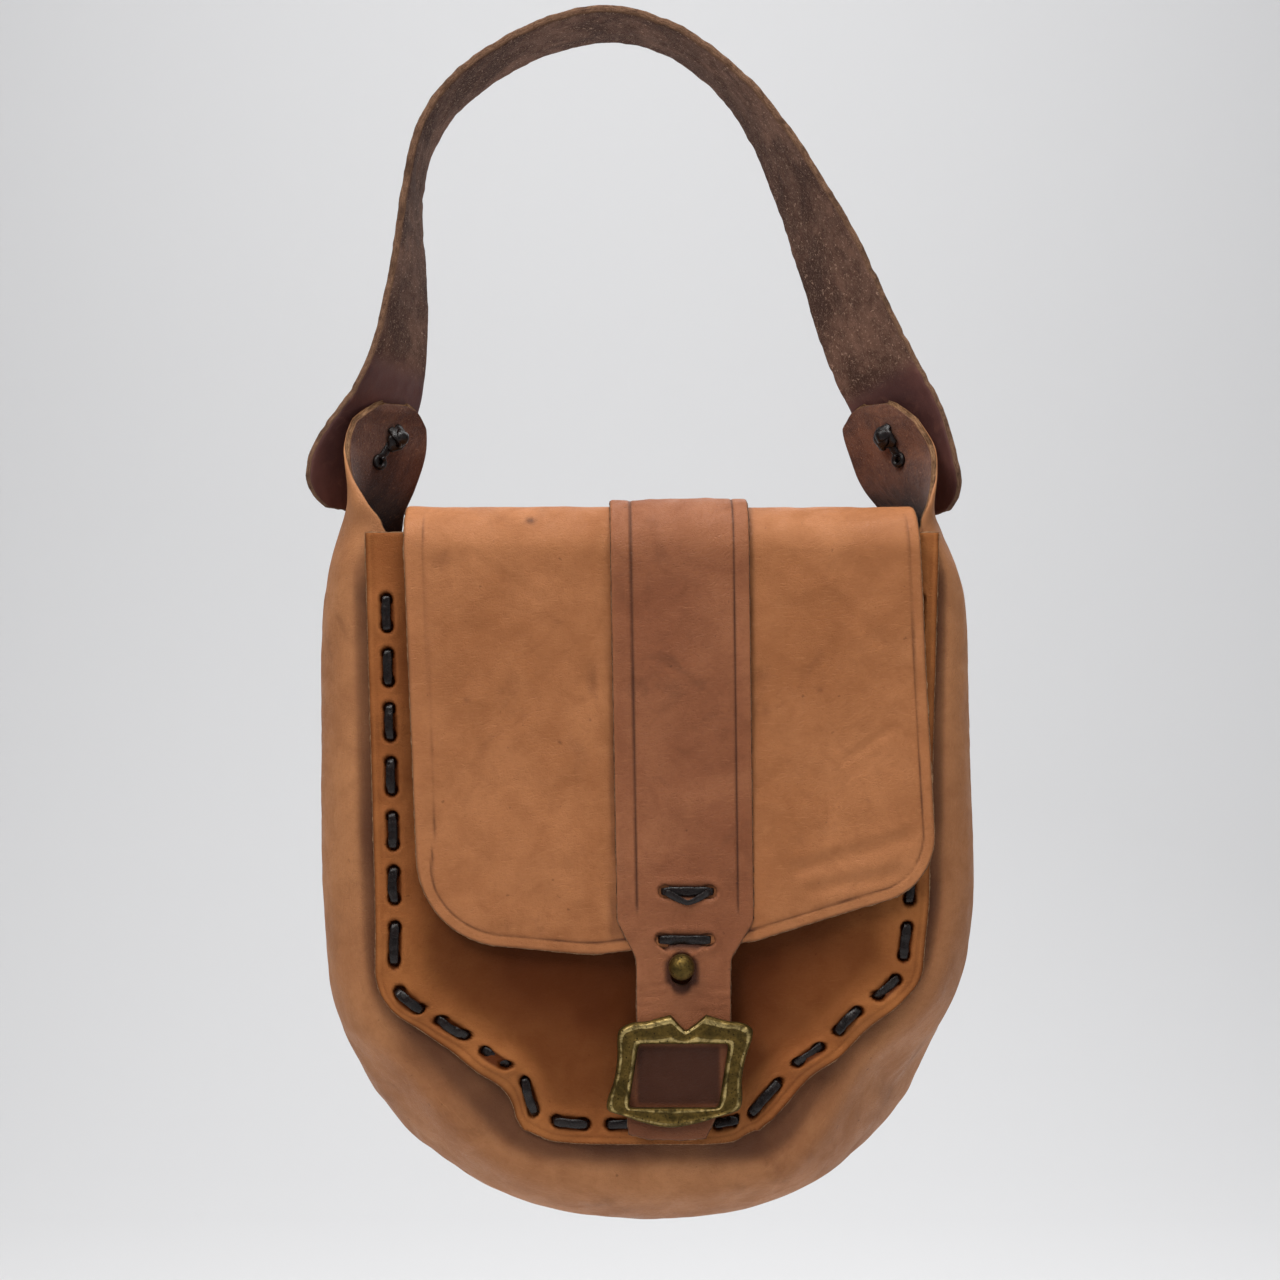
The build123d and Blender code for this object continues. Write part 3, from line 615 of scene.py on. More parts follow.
def aged_brass(name, use_rest=True):
    """Cast brass with a dark olive patina, pitted, rubbed bright where "wear" says."""
    n = Nodes(name)
    if use_rest:
        where = n.attribute("rest", True)
    else:
        where = n.scaled(n.new("ShaderNodeTexCoord").outputs["Object"], (1000, 1000, 1000))
    wear = n.attribute("wear")
    patch = n.noise(where, 0.16, 5, 0.65, 0.8)
    grit = n.noise(where, 0.9, 4, 0.7)
    pits = n.fit(n.cells(where, 0.55, "F1"), 0.06, 0.26)
    tone = n.mix(n.fit(patch, 0.36, 0.66), colour(74, 60, 28), colour(112, 90, 44))
    tone = n.mix(n.fit(grit, 0.50, 0.70, 0.0, 0.7), tone, colour(44, 36, 18))
    rub = n.math("ADD", n.math("MULTIPLY", wear, 1.1), n.fit(patch, 0.3, 0.75, -0.35, 0.25))
    rub = n.fit(rub, 0.62, 1.35, 0.0, 1.0)
    tone = n.mix(rub, tone, colour(222, 196, 132))
    tone = n.mix(n.math("SUBTRACT", 1.0, pits), tone, colour(34, 26, 14))
    n.set(Base_Color=tone)
    n.set(Metallic=0.92)
    shine = n.math("SUBTRACT", n.fit(grit, 0.3, 0.7, 0.40, 0.62), n.math("MULTIPLY", rub, 0.16))
    n.set(Roughness=shine)
    height = n.math("ADD", n.math("MULTIPLY", pits, 0.8), n.math("MULTIPLY", grit, 0.7))
    height = n.math("ADD", height, n.math("MULTIPLY", patch, 1.2))
    n.set(Normal=n.bump(height, 0.45, 0.0006))
    return n.material


TAN = leather(
    "tan_leather_grain", colour(182, 119, 74), colour(160, 99, 56), colour(132, 79, 42), colour(80, 40, 18)
)
TAN_EDGE = cut_edge("tan_leather_edge", colour(176, 136, 100), colour(122, 84, 56), colour(62, 38, 24))
FLESH = suede("tan_leather_flesh", colour(150, 112, 80), colour(120, 82, 54), colour(88, 56, 36), 0.7)
TAB_FLESH = suede("gusset_leather_flesh", colour(164, 112, 84), colour(122, 76, 54), colour(74, 42, 32), 0.8)
GUSSET = leather(
    "gusset_leather_grain", colour(182, 124, 80), colour(164, 108, 68), colour(132, 82, 49), colour(84, 46, 24)
)
# PANEL's last colour, (84, 38, 8), also paints the shade over the middle of the front panel
PANEL = leather(
    "panel_leather_grain", colour(168, 106, 58), colour(150, 88, 46), colour(120, 66, 32), colour(84, 38, 8),
    shine=0.1,
)
# STRAP's last colour, (62, 28, 10), also paints the shade in the buckle's window
STRAP = leather(
    "strap_leather_grain", colour(158, 99, 64), colour(136, 79, 48), colour(107, 59, 35), colour(62, 28, 10), 1.1
)
STRAP_EDGE = cut_edge("strap_leather_edge", colour(156, 116, 86), colour(98, 64, 44), colour(48, 28, 18))
BELT_EDGE = cut_edge("shoulder_strap_edge", colour(150, 114, 88), colour(108, 76, 58), colour(60, 40, 30))
LACE = waxed_lace("waxed_lace")
BRASS = aged_brass("aged_brass_cast")
BRASS_PLAIN = aged_brass("aged_brass_plain", False)

# ------------------------------------------------------------------ laces read from the CAD strands


LACE_W, LACE_T = 4.2, 1.1
SHORTEST_STRAND = 8


def lace_strands(node, face_y):
    """Ends (x, h) of the flat strands of a CAD lacing that lie on the plane y = face_y."""
    mesh = frame["nodes"][node].data
    co = np.empty(len(mesh.vertices) * 3)
    mesh.vertices.foreach_get("co", co)
    co = co.reshape(-1, 3) * 1000 - np.array([SHIFT_X, SHIFT_Y, MOUTH_Z])
    on = np.abs(co[:, 1] - face_y) < 0.02
    parent = {}

    def find(a):
        while parent[a] != a:
            parent[a] = parent[parent[a]]
            a = parent[a]
        return a

    def name_of(i):
        k = (round(co[i, 0], 2), round(co[i, 2], 2))
        parent.setdefault(k, k)
        return k

    for poly in mesh.polygons:
        ids = [i for i in poly.vertices]
        if all(on[i] for i in ids):
            names = [name_of(i) for i in ids]
            for other in names[1:]:
                parent[find(other)] = find(names[0])
    groups = {}
    for k in parent:
        groups.setdefault(find(k), []).append(k)
    strands = []
    for members in groups.values():
        p = np.array(members)
        centre = (p.max(0) + p.min(0)) / 2
        q = p - p.mean(0)
        axis = np.linalg.svd(q, full_matrices=False)[2][0]
        reach = (q @ axis).max() - (q @ axis).min()
        if reach < SHORTEST_STRAND:
            continue
        half = (reach - LACE_W) / 2
        strands.append((centre - axis * half, centre + axis * half))
    return strands


front_lace_box = [c.y * 1000 - SHIFT_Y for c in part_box("front_lacing")]
back_lace_box = [c.y * 1000 - SHIFT_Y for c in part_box("back_lacing")]
front_outer = lace_strands("front_lacing", front_lace_box[0])
front_inner = lace_strands("front_lacing", front_lace_box[1])
back_outer = lace_strands("back_lacing", back_lace_box[1])
back_inner = lace_strands("back_lacing", back_lace_box[0])


STITCH_PAST = 1.5  # how far a strand runs past the middle of its holes


def stitch(a, b, face_y, out_y, seed, wave=None):
    """One strand of thong from hole to hole over a face at face_y; out_y is +1 or -1."""
    r = np.random.default_rng(seed)
    a, b = np.asarray(a, float), np.asarray(b, float)
    length = np.linalg.norm(b - a)
    d = (b - a) / length
    across = np.array([d[1], -d[0]])
    start, end = -STITCH_PAST, length + STITCH_PAST
    s = np.linspace(-0.6, length + 0.6, 15)
    s = np.concatenate([[start, start, start + 0.4], s, [end - 0.4, end, end]])
    lift = np.concatenate([[-2.6, -1.6, -0.6], np.full(15, 0.12), [-0.6, -1.6, -2.6]])
    mid = smooth(s, 0, 3) * smooth(length - s, 0, 3)
    lift = lift + mid * (0.25 + 0.2 * r.standard_normal()) + 0.12 * np.sin(s * 1.1 + r.uniform(0, 6)) * mid
    drift = 0.35 * r.standard_normal() * np.sin(np.clip(s / length, 0, 1) * math.pi)
    path = np.stack(
        [a[0] + d[0] * s + across[0] * drift, face_y + out_y * lift, a[1] + d[1] * s + across[1] * drift], axis=1
    )
    if wave is not None:
        path[:, 1] -= wave(path[:, [0, 2]])
    roll = 0.22 * r.standard_normal() + 0.18 * r.standard_normal() * np.sin(s / length * 3)
    side = np.stack(
        [across[0] * np.cos(roll), np.sin(roll) * out_y, across[1] * np.cos(roll)], axis=1
    )
    width = 3.1 + 0.8 * smooth(s, -1.5, 2.0) * smooth(length - s, -1.5, 2.0)
    width = width + 0.15 * np.sin(s * 0.9 + r.uniform(0, 6))
    return tube(path, side, width, 1.25 + 0.15 * mid, 12, 3.0, seed * 31.0)


def finish_piece(obj, slot, *nodes):
    """Hides the CAD nodes a piece stands in for; the slot argument is not used."""
    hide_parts(*nodes)
    return obj


def thong(name, parts, node, body):
    """Strands as one object of waxed thong, in place of a CAD lace."""
    points, faces, rest = join(parts)
    obj = make_object(name, points, faces, [LACE], None, rest)
    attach(obj, body)
    return finish_piece(obj, "dark_lace", node)


def lacing(name, outer, inner, outer_y, inner_y, out_y, node, body, wave=None):
    parts = [stitch(a, b, outer_y, out_y, 100 + k, wave) for k, (a, b) in enumerate(outer)]
    parts += [stitch(a, b, inner_y, -out_y, 300 + k, wave) for k, (a, b) in enumerate(inner)]
    return thong(name, parts, node, body)


HOLE_R = 2.5


def hole_relief_and_shade(points, ends, strands, deep=2.4):
    """Relief (mm outward) of punched holes and of the leather drawn in under the stitches, and painted shade (0
    to 1) inside the holes and along the stitches.
    """
    bump = np.zeros(points.shape[:-1])
    dark = np.zeros(points.shape[:-1])
    for a, b in strands:
        box_low = np.minimum(a, b) - 12
        box_high = np.maximum(a, b) + 12
        sel = np.all((points > box_low) & (points < box_high), axis=-1)
        if not sel.any():
            continue
        p = points[sel]
        d = distance_to_segment(p, a, b)
        bump[sel] += -1.0 * bell(d, 2.7, 4) + 0.40 * bell(d - 4.6, 1.4)
        # painted shade along each stitch's slot
        dark[sel] = np.maximum(dark[sel], 0.95 * bell(d, 2.9, 6))
    for e in ends:
        sel = np.all(np.abs(points - e) < 7, axis=-1)
        if not sel.any():
            continue
        d = np.linalg.norm(points[sel] - e, axis=-1)
        bump[sel] += -deep * smooth(HOLE_R + 0.5 - d, 0, 1.0) + 0.28 * bell(d - 3.5, 0.7)
        # painted shade inside each punched hole
        dark[sel] = np.maximum(dark[sel], smooth(HOLE_R + 0.7 - d, 0, 0.8))
    return bump, dark


# ------------------------------------------------------------------ front panel
HALF_TOP, HALF_LOW, HALF_BOTTOM, PANEL_H = 119.0, 114.0, 53, 253.5
BOTTOM_RISE = 2.2  # the bottom edge rises this much at its corners
CREASE_IN = 2.9  # the edge crease, in from a panel's edge
panel_left = rounded([(-HALF_TOP, 0), (-HALF_LOW, -184.5), (-HALF_BOTTOM, -PANEL_H)], [0, 18, 0])
bottom_line = np.stack([np.linspace(-HALF_BOTTOM, HALF_BOTTOM, 60), np.full(60, -PANEL_H)], axis=1)
bottom_line[:, 1] += BOTTOM_RISE * smooth(np.abs(bottom_line[:, 0]), 40, HALF_BOTTOM)
panel_left[-12:, 1] += np.linspace(0, BOTTOM_RISE, 12)
panel_right = panel_left * np.array([-1, 1])
top_line = np.array([(-HALF_TOP, 0), (HALF_TOP, 0)], float)
u = shares(2 * HALF_TOP, True, True, 0.85, 2.2)
v = shares(280, False, True, 0.75, 0.95)
panel_flat = coons(panel_left, panel_right, top_line, bottom_line, u, v)
panel_rim = np.vstack([panel_left, bottom_line, panel_right[::-1]])
edge = distance_to(panel_flat, panel_rim)
holes = [e for s in front_outer for e in s]
bump, dark = hole_relief_and_shade(panel_flat, holes, front_outer)
p3 = deepened(panel_flat)
low_part = smooth(-panel_flat[..., 1], 170, 250)
bump = bump + 0.30 * fbm(p3, 14, 2, 3) + (0.5 + 1.0 * low_part) * fbm(p3, 45, 2, 9)
pucker = np.exp(-edge / 6.5)
bump += pucker * (0.6 + 0.6 * low_part) * fbm(p3, 11, 2, 21)
# puckers of the lower corners: place (x, h), forward by, reach, all mm
WAVES = [
    ((-103, -194), 2.8, 10),
    ((-84, -211), -1.2, 8),
    ((-70, -226), 3.4, 10),
    ((-50, -243), -1.3, 8),
    ((98, -201), 2.2, 9),
    ((84, -214), -1.2, 7),
    ((70, -226), 2.8, 9),
    ((54, -243), -1.2, 7),
    ((108, -160), 0.9, 12),
]
# and the places (x, h) pulled along the face by (dx, dh), with a reach, all mm
PULLS = [
    ((-103, -187), (-1.5, -6), 15),
    ((-78, -215), (3, 2), 12),
    ((-62, -234), (6, 8.5), 17),
    ((-51, -250), (-2, 1), 10),
    ((108, -178), (-2, -1), 16),
    ((88, -205), (-3, 3.5), 16),
    ((67, -231), (-5, 8), 19),
    ((50, -249), (-8, 2), 15),
]


def panel_wave(points):
    """How far forward (mm) the puckers bring places (x, h) of the front panel."""
    forward = np.zeros(points.shape[:-1])
    for spot, high_by, reach in WAVES:
        forward += high_by * np.exp(-((points - spot) ** 2).sum(-1) / reach**2)
    return forward


def pulled(points):
    """Places (x, h) of the front panel after its corners are drawn in."""
    points = np.asarray(points, float)
    moved = points.copy()
    for spot, move, reach in PULLS:
        share = np.exp(-((points - spot) ** 2).sum(-1) / reach**2)
        moved = moved + share[..., None] * np.array(move)
    return moved


bump += panel_wave(panel_flat)
crease = 0.22 * bell(edge - CREASE_IN, 0.55)
bump -= crease
panel_place = pulled(panel_flat)
panel_grid = np.stack([panel_place[..., 0], np.zeros(edge.shape), panel_place[..., 1]], axis=-1)
panel_normal = np.broadcast_to(np.array([0, -1.0, 0]), panel_grid.shape)
# painted shade: the front panel is painted darker from its laced edge in towards its middle, standing in for the
# shade over the sunken panel under the flap; random blotches are added on top
inward = edge + 5 * fbm(p3, 34, 3, 41)
painted_shade = 0.16 * smooth(edge, 2, 9) + 0.46 * smooth(inward, 7, 26) + 0.24 * smooth(inward, 24, 60)
painted_shade += 0.10 * np.clip(fbm(p3, 22, 3, 42), 0, 1)
edge_dark = 0.65 * bell(edge, 0.9) + 0.28 * bell(edge - CREASE_IN, 0.6)
shade = np.clip(dark + painted_shade + edge_dark + 0.08 * fbm(p3, 30, 3, 40), 0, 1)
wear = np.clip(0.5 * bell(edge - 1.8, 0.7) + 0.3 * np.clip(bump, 0, 1), 0, 1)
front_panel = leather_sheet(
    "front_panel_leather", panel_grid, panel_normal, LEATHER, [PANEL, TAN_EDGE, FLESH], panel_flat,
    {"mark": shade, "wear": wear}, bump,
)
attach(front_panel, "bag")
finish_piece(front_panel, "tan_leather", "front_panel")

drawn_outer = [(pulled(a), pulled(b)) for a, b in front_outer]
drawn_inner = [(pulled(a), pulled(b)) for a, b in front_inner]
lace_inner_y = front_lace_box[1] - LACE_T
lacing(
    "front_lacing_thong", drawn_outer, drawn_inner, 0.0, lace_inner_y, -1, "front_lacing", "bag", panel_wave
)

# ------------------------------------------------------------------ the hide over the top
# Path in the YZ plane from the middle of the top; side is -1 to the front, +1 to the rear.


def over_top(s, side, lift=0.0):
    """(y, h) and outward direction at length s (mm) from mid top, on the face lifted by lift."""
    bend = FRONT_BEND if side < 0 else REAR_BEND
    face_y = FLAP_Y if side < 0 else BACK_Y
    run = abs(face_y - MID_Y) - bend
    arc = bend * math.pi / 2
    s = np.asarray(s, float)
    a = np.clip((s - run) / bend, 0, math.pi / 2)
    reach = np.minimum(s, run) + bend * np.sin(a)
    drop = bend * (1 - np.cos(a)) + np.clip(s - run - arc, 0, None)
    n_y, n_h = side * np.sin(a), np.cos(a)
    y = MID_Y + side * reach + n_y * lift
    h = FLAP_TOP - drop + n_h * lift
    return np.stack([y, h], -1), np.stack([n_y, n_h], -1)


def s_of_height(h, side):
    bend = FRONT_BEND if side < 0 else REAR_BEND
    face_y = FLAP_Y if side < 0 else BACK_Y
    run = abs(face_y - MID_Y) - bend
    return run + bend * math.pi / 2 + (FLAP_TOP - bend - h)


def over_grid(flat, side, lift=0.0):
    """3-D grid and normals of (x, s) points on the hide over the top."""
    yz, n = over_top(flat[..., 1], side, lift)
    grid = np.stack([flat[..., 0], yz[..., 0], yz[..., 1]], -1)
    normal = np.stack([np.zeros(n.shape[:-1]), n[..., 0], n[..., 1]], -1)
    return grid, normal


# flap: x and s of its outline
SF = lambda h: s_of_height(h, -1)
flap_side_l = rounded(
    [(-100, 0), (-102.7, 18), (-102.4, SF(-8)), (-95.6, SF(-168.5)), (-21.6, SF(-173.2))], [0, 20, 0, 38, 0]
)
flap_side_r = rounded(
    [(98, 0), (108.6, 18), (110.6, SF(-8)), (117.2, SF(-145.4)), (41.5, SF(-167.8))], [0, 20, 0, 28, 0]
)


def turn_index(line):
    """Index where a side line turns into the bottom edge."""
    d = np.diff(line, axis=0)
    slope = np.abs(d[:, 0]) / (np.abs(d[:, 1]) + 1e-9)
    return int(np.argmax((slope > 0.9) & (np.arange(len(slope)) > len(slope) * 0.3)))


k_l, k_r = turn_index(flap_side_l), turn_index(flap_side_r)
flap_l, flap_bl = flap_side_l[: k_l + 1], flap_side_l[k_l:]
flap_r, flap_br = flap_side_r[: k_r + 1], flap_side_r[k_r:]
flap_bottom = np.vstack([flap_bl, np.array([[10, SF(-170.6)]]), flap_br[::-1]])
flap_bottom = resample(flap_bottom, 200)
flap_bottom[:, 1] += 0.9 * np.interp(flap_bottom[:, 0], [-60, -30, 0, 40, 80], [0, 1, -0.6, 0.7, 0])
u = shares(212, True, True, 0.9, 1.5, 8)
v = shares(flap_l.shape[0] * 0.7, False, True, 0.9, 1.35, 10)
flap_flat = coons(flap_l, flap_r, np.array([flap_l[0], flap_r[0]]), flap_bottom, u, v)
flap_rim = np.vstack([flap_l, flap_bottom, flap_r[::-1]])
edge = distance_to(flap_flat, flap_rim)
grid, normal = over_grid(flap_flat, -1)
p3 = deepened(flap_flat)
s = flap_flat[..., 1]
x = flap_flat[..., 0]
down = smooth(s, 60, SF(-170))
bump = 0.22 * fbm(p3, 9, 2, 51) + 0.55 * fbm(p3, 38, 3, 52) * smooth(s, 8, 40)
bump += down**2 * (1.5 + 1.5 * np.sin(x / 31 + 0.6) + 1.0 * fbm(p3, 60, 1, 55))
corner = np.exp(-(((x - 104) / 30) ** 2 + ((s - SF(-140)) / 34) ** 2))
bump += 2.4 * corner
corner_l = np.exp(-(((x + 88) / 22) ** 2 + ((s - SF(-160)) / 26) ** 2))
bump += 1.2 * corner_l
bump -= 0.5 * bell(x - STRAP_X, 30, 4) * smooth(s, 30, 60)


def wrinkle(a, b, deep, wide):
    """A soft valley from a to b (x, h) on the flap, with a low ridge each side."""
    pa, pb = np.array([a[0], SF(a[1])]), np.array([b[0], SF(b[1])])
    d = distance_to_segment(flap_flat, pa, pb)
    return -deep * bell(d, wide) + 0.45 * deep * bell(d - 2.1 * wide, wide)


# soft valleys on the flap: from (x, h), to (x, h), depth, width, all mm
WRINKLES = [
    ((61.0, -138.5), (104.3, -126.2), 0.55, 2.6),
    ((65.9, -147.6), (102.2, -140.2), 0.45, 2.2),
    ((79.5, -94.0), (98.1, -81.6), 0.3, 1.6),
    ((-91.6, -44.5), (-71.0, -19.8), 0.22, 0.9),
    ((-25.6, -137.7), (-17.0, -139.4), 0.3, 0.8),
    ((-87.5, -94.0), (-62.7, -153.8), 0.25, 3.0),
    ((-54.5, -44.5), (-38.0, -151.7), 0.22, 3.4),
    ((38.3, -28.0), (48.6, -127.0), 0.25, 3.2),
    ((56.9, -11.5), (94.0, -44.5), 0.25, 2.4),
    ((-75.1, -9.4), (-46.2, -28.0), 0.2, 2.0),
]
for a, b, deep, wide in WRINKLES:
    bump += wrinkle(a, b, deep, wide)
crease_in = 4.6 + 3.4 * smooth(-x, 60, 96) * smooth(SF(-150) - s, 0, 30)
groove = smooth(s, 30, 50) * bell(edge - crease_in, 0.62)
bump -= 0.40 * groove
mark = 0.10 * fbm(p3, 26, 3, 61)
# painted shade: a dark line on the flap along both edges of the centre strap, where the strap stands on it
strap_gap = np.maximum(np.abs(x - STRAP_X) - 28.5, 0)
mark += 0.45 * bell(strap_gap, 1.6) * smooth(s, 6, 22) * smooth(SF(-172) - s, 0, 8)
mark += 0.80 * groove * (0.75 + 0.25 * fbm(p3, 8, 2, 67)) + 0.55 * bell(edge, 0.8)
for q, size, amount in (
    ((-50.4, 6.2), 2.2, 0.8),
    ((19.7, -38.3), 1.8, 0.8),
    ((-76.3, -69.2), 1.2, 0.5),
    ((69.2, -65.1), 1.4, 0.5),
    ((-38.0, -86.6), 1.0, 0.6),
    ((89.0, -110.5), 1.2, 0.4),
):
    mark += amount * np.exp(-(((x - q[0]) ** 2 + (s - SF(q[1])) ** 2) / size**2))
wear = 0.75 * np.exp(-edge / 1.3)
for a, b, amount, wide in (
    ((-71.0, -19.8), (-91.6, -44.5), 0.8, 0.45),
    ((85.7, -87.8), (94.0, -110.5), 0.7, 0.5),
    ((89.0, -85.7), (92.3, -106.4), 0.6, 0.4),
    ((-25.6, -135.2), (-17.4, -140.2), 0.6, 0.4),
    ((-60.7, -65.1), (-54.5, -74.2), 0.5, 0.4),
    ((61.0, -32.1), (70.1, -41.2), 0.5, 0.4),
):
    d = distance_to_segment(flap_flat, (a[0], SF(a[1])), (b[0], SF(b[1])))
    wear += amount * bell(d, wide)
# painted highlight: a light band across the front fold of the flap
wear += 0.55 * bell(s - 52, 6) * (0.6 + 0.4 * fbm(p3, 18, 2, 66))
flap = leather_sheet(
    "flap_leather", grid, normal, LEATHER, [TAN, TAN_EDGE, FLESH], flap_flat,
    {"mark": np.clip(mark, 0, 1), "wear": np.clip(wear, 0, 1)}, bump * smooth(s, 2, 14), "t",
)
finish_piece(flap, "tan_leather", "flap_front")

# back panel with the rear half of the top
SB = lambda h: s_of_height(h, 1)
back_left = rounded(
    [(-100, 0), (-96, 18), (-96, SB(-2)), (-119, SB(-15)), (-118, SB(-264.5)), (-40, SB(-264.5))],
    [0, 16, 7, 8, 42, 0],
)
back_right = rounded(
    [(98, 0), (88, 18), (88, SB(-2)), (119, SB(-15)), (118, SB(-264.5)), (40, SB(-264.5))],
    [0, 16, 7, 8, 50, 0],
)


def low_corner(line):
    """Index where the line's last corner is half turned."""
    d = np.diff(line, axis=0)
    slope = np.abs(d[:, 0]) / (np.abs(d[:, 1]) + 1e-9)
    late = np.arange(len(slope)) > len(slope) * 0.6
    return int(np.argmax((slope > 1.0) & late))


k_l, k_r = low_corner(back_left), low_corner(back_right)
back_bottom = np.vstack([back_left[k_l:], back_right[k_r:][::-1]])
back_l, back_r = back_left[: k_l + 1], back_right[: k_r + 1]
u = shares(238, True, True, 0.9, 2.4)
v = shares(back_l.shape[0] * 0.7, False, True, 0.9, 1.1)
back_flat = coons(back_l, back_r, np.array([back_l[0], back_r[0]]), resample(back_bottom, 200), u, v)
back_rim = np.vstack([back_l, back_bottom, back_r[::-1]])
edge = distance_to(back_flat, back_rim)
grid, normal = over_grid(back_flat, 1)
strands = [((a[0], SB(a[1])), (b[0], SB(b[1]))) for a, b in back_outer]
ends = [np.array(e) for st in strands for e in st]
relief, dark = hole_relief_and_shade(back_flat, ends, [(np.array(a), np.array(b)) for a, b in strands])
p3 = deepened(back_flat, 7)
s = back_flat[..., 1]
bump = relief + 0.25 * fbm(p3, 12, 2, 71) + 0.9 * fbm(p3, 55, 2, 72) * smooth(s, 40, 90)
bump += np.exp(-edge / 6.5) * 0.9 * fbm(p3, 11, 2, 73) * smooth(s, 60, 90)
bump -= 0.2 * bell(edge - CREASE_IN, 0.55) * smooth(s, 60, 90)
mark = np.clip(dark + 0.25 * bell(edge - CREASE_IN, 0.6) + 0.1 * fbm(p3, 30, 3, 74), 0, 1)
wear = np.clip(0.75 * np.exp(-edge / 1.2) + 0.4 * np.clip(bump, 0, 1), 0, 1)
back = leather_sheet(
    "back_panel_leather", grid, normal, LEATHER, [TAN, TAN_EDGE, FLESH], back_flat,
    {"mark": mark, "wear": wear}, bump * smooth(s, 2, 14), "t",
)
finish_piece(back, "tan_leather", "back_panel", "flap_top")
lacing("back_lacing_thong", back_outer, back_inner, BACK_Y, back_lace_box[0] + LACE_T, 1, "back_lacing", "bag")


# ------------------------------------------------------------------ the flexing lines' places; the flap and back panel bake their transforms
def hinge(name):
    j = next(j for j in frame["joints"] if j["name"] == name)
    return np.array(j["pos_m"], float)


def across(pos, direction, reach):
    d = np.array([0.0, *direction])
    d = d / np.linalg.norm(d)
    return tuple(pos - d * reach / 1000), tuple(pos + d * reach / 1000)


REAR = hinge("flap_rear_bend")
FRONT = hinge("flap_front_bend")
BEND_REACH = 14.0

a, b = across(FRONT, (-1, -1), BEND_REACH)
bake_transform(flap)
a, b = across(REAR, (-1, 1), BEND_REACH)
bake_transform(back)

# ------------------------------------------------------------------ centre strap
TONGUE_X, TONGUE_HALF = 12.9, 19.25
TONGUE_L, TONGUE_R = TONGUE_X - TONGUE_HALF, TONGUE_X + TONGUE_HALF
SEAM_S = SF(-100)
strap_l = rounded(
    [
        (-17.6, 0), (-17.4, 30), (-14.2, SF(-160)), (TONGUE_L, SF(-175.5)),
        (TONGUE_L + 0.3, SF(-208)), (-10.5, SF(-236)), (-9.5, SF(-247.5)),
    ],
    [0, 0, 7, 9, 12, 10, 0],
)
strap_r = rounded(
    [
        (39.2, 0), (39.4, 30), (41.5, SF(-160)), (TONGUE_R, SF(-175.5)),
        (TONGUE_R - 0.1, SF(-208)), (28, SF(-236)), (22, SF(-249)),
    ],
    [0, 0, 7, 9, 12, 10, 0],
)
strap_bottom = rounded([(-9.5, SF(-247.5)), (-2, SF(-249.6)), (12, SF(-250)), (22, SF(-249))], [0, 4, 4, 0])


def part_of(line, low, high):
    """The stretch of an outline between two lengths s."""
    s = line[:, 1]
    inside = line[(s > low) & (s < high)]
    ends = [np.array([[np.interp(e, s, line[:, 0]), e]]) for e in (low, high)]
    low_end = ends[0] if low > s[0] else line[:1]
    high_end = ends[1] if high < s[-1] else line[-1:]
    return np.vstack([low_end, inside, high_end])


def strap_relief(flat, side, rim):
    edge = distance_to(flat, rim)
    p3 = deepened(flat, 31)
    s, x = flat[..., 1], flat[..., 0]
    bump = 0.2 * fbm(p3, 8, 2, 81) + 0.45 * fbm(p3, 30, 2, 82) * smooth(s, 4, 30)
    crease_in = 6.2 + 1.8 * (x < 12)
    groove = bell(edge - crease_in, 0.62) * smooth(SF(-160) - s, 0, 8)
    bump -= 0.42 * groove
    bump += 0.5 * smooth(edge, 8, 18)
    mark = 0.80 * groove + 0.12 * fbm(p3, 22, 3, 83)
    wear = 0.7 * np.exp(-edge / 1.2) + 0.25 * bell(edge - 5.6, 0.4)
    # painted highlight: a light band across the front fold of the centre strap
    wear += 0.55 * bell(s - 50, 7) * (side < 0)
    return bump, mark, wear


def strap_piece(low, high, bottom, step):
    """The centre strap between two lengths s over the front, with its relief and its rubbed light marks, among
    them a painted highlight on the front fold.
    """
    l, r = part_of(strap_l, low, high), part_of(strap_r, low, high)
    top = np.array([l[0], r[0]])
    low_line = bottom if bottom is not None else np.array([l[-1], r[-1]])
    u = shares(57, True, True, 0.7, 1.1, 8)
    v = shares(max(l[-1, 1], r[-1, 1]) - low, False, bottom is not None, step, step * 1.15, 6)
    flat = coons(l, r, top, low_line, u, v)
    return flat, *strap_relief(flat, -1, strap_rim)


strap_rim = np.vstack([strap_l, strap_bottom, strap_r[::-1]])
STRAP_LIFT = STRAP_STEP + STRAP_LEATHER

UPPER = (-147.8, 5.4, 23.7)
LOWER = (-167.6, 4.2, 22.8)
STUD = (12.0, -178.1)


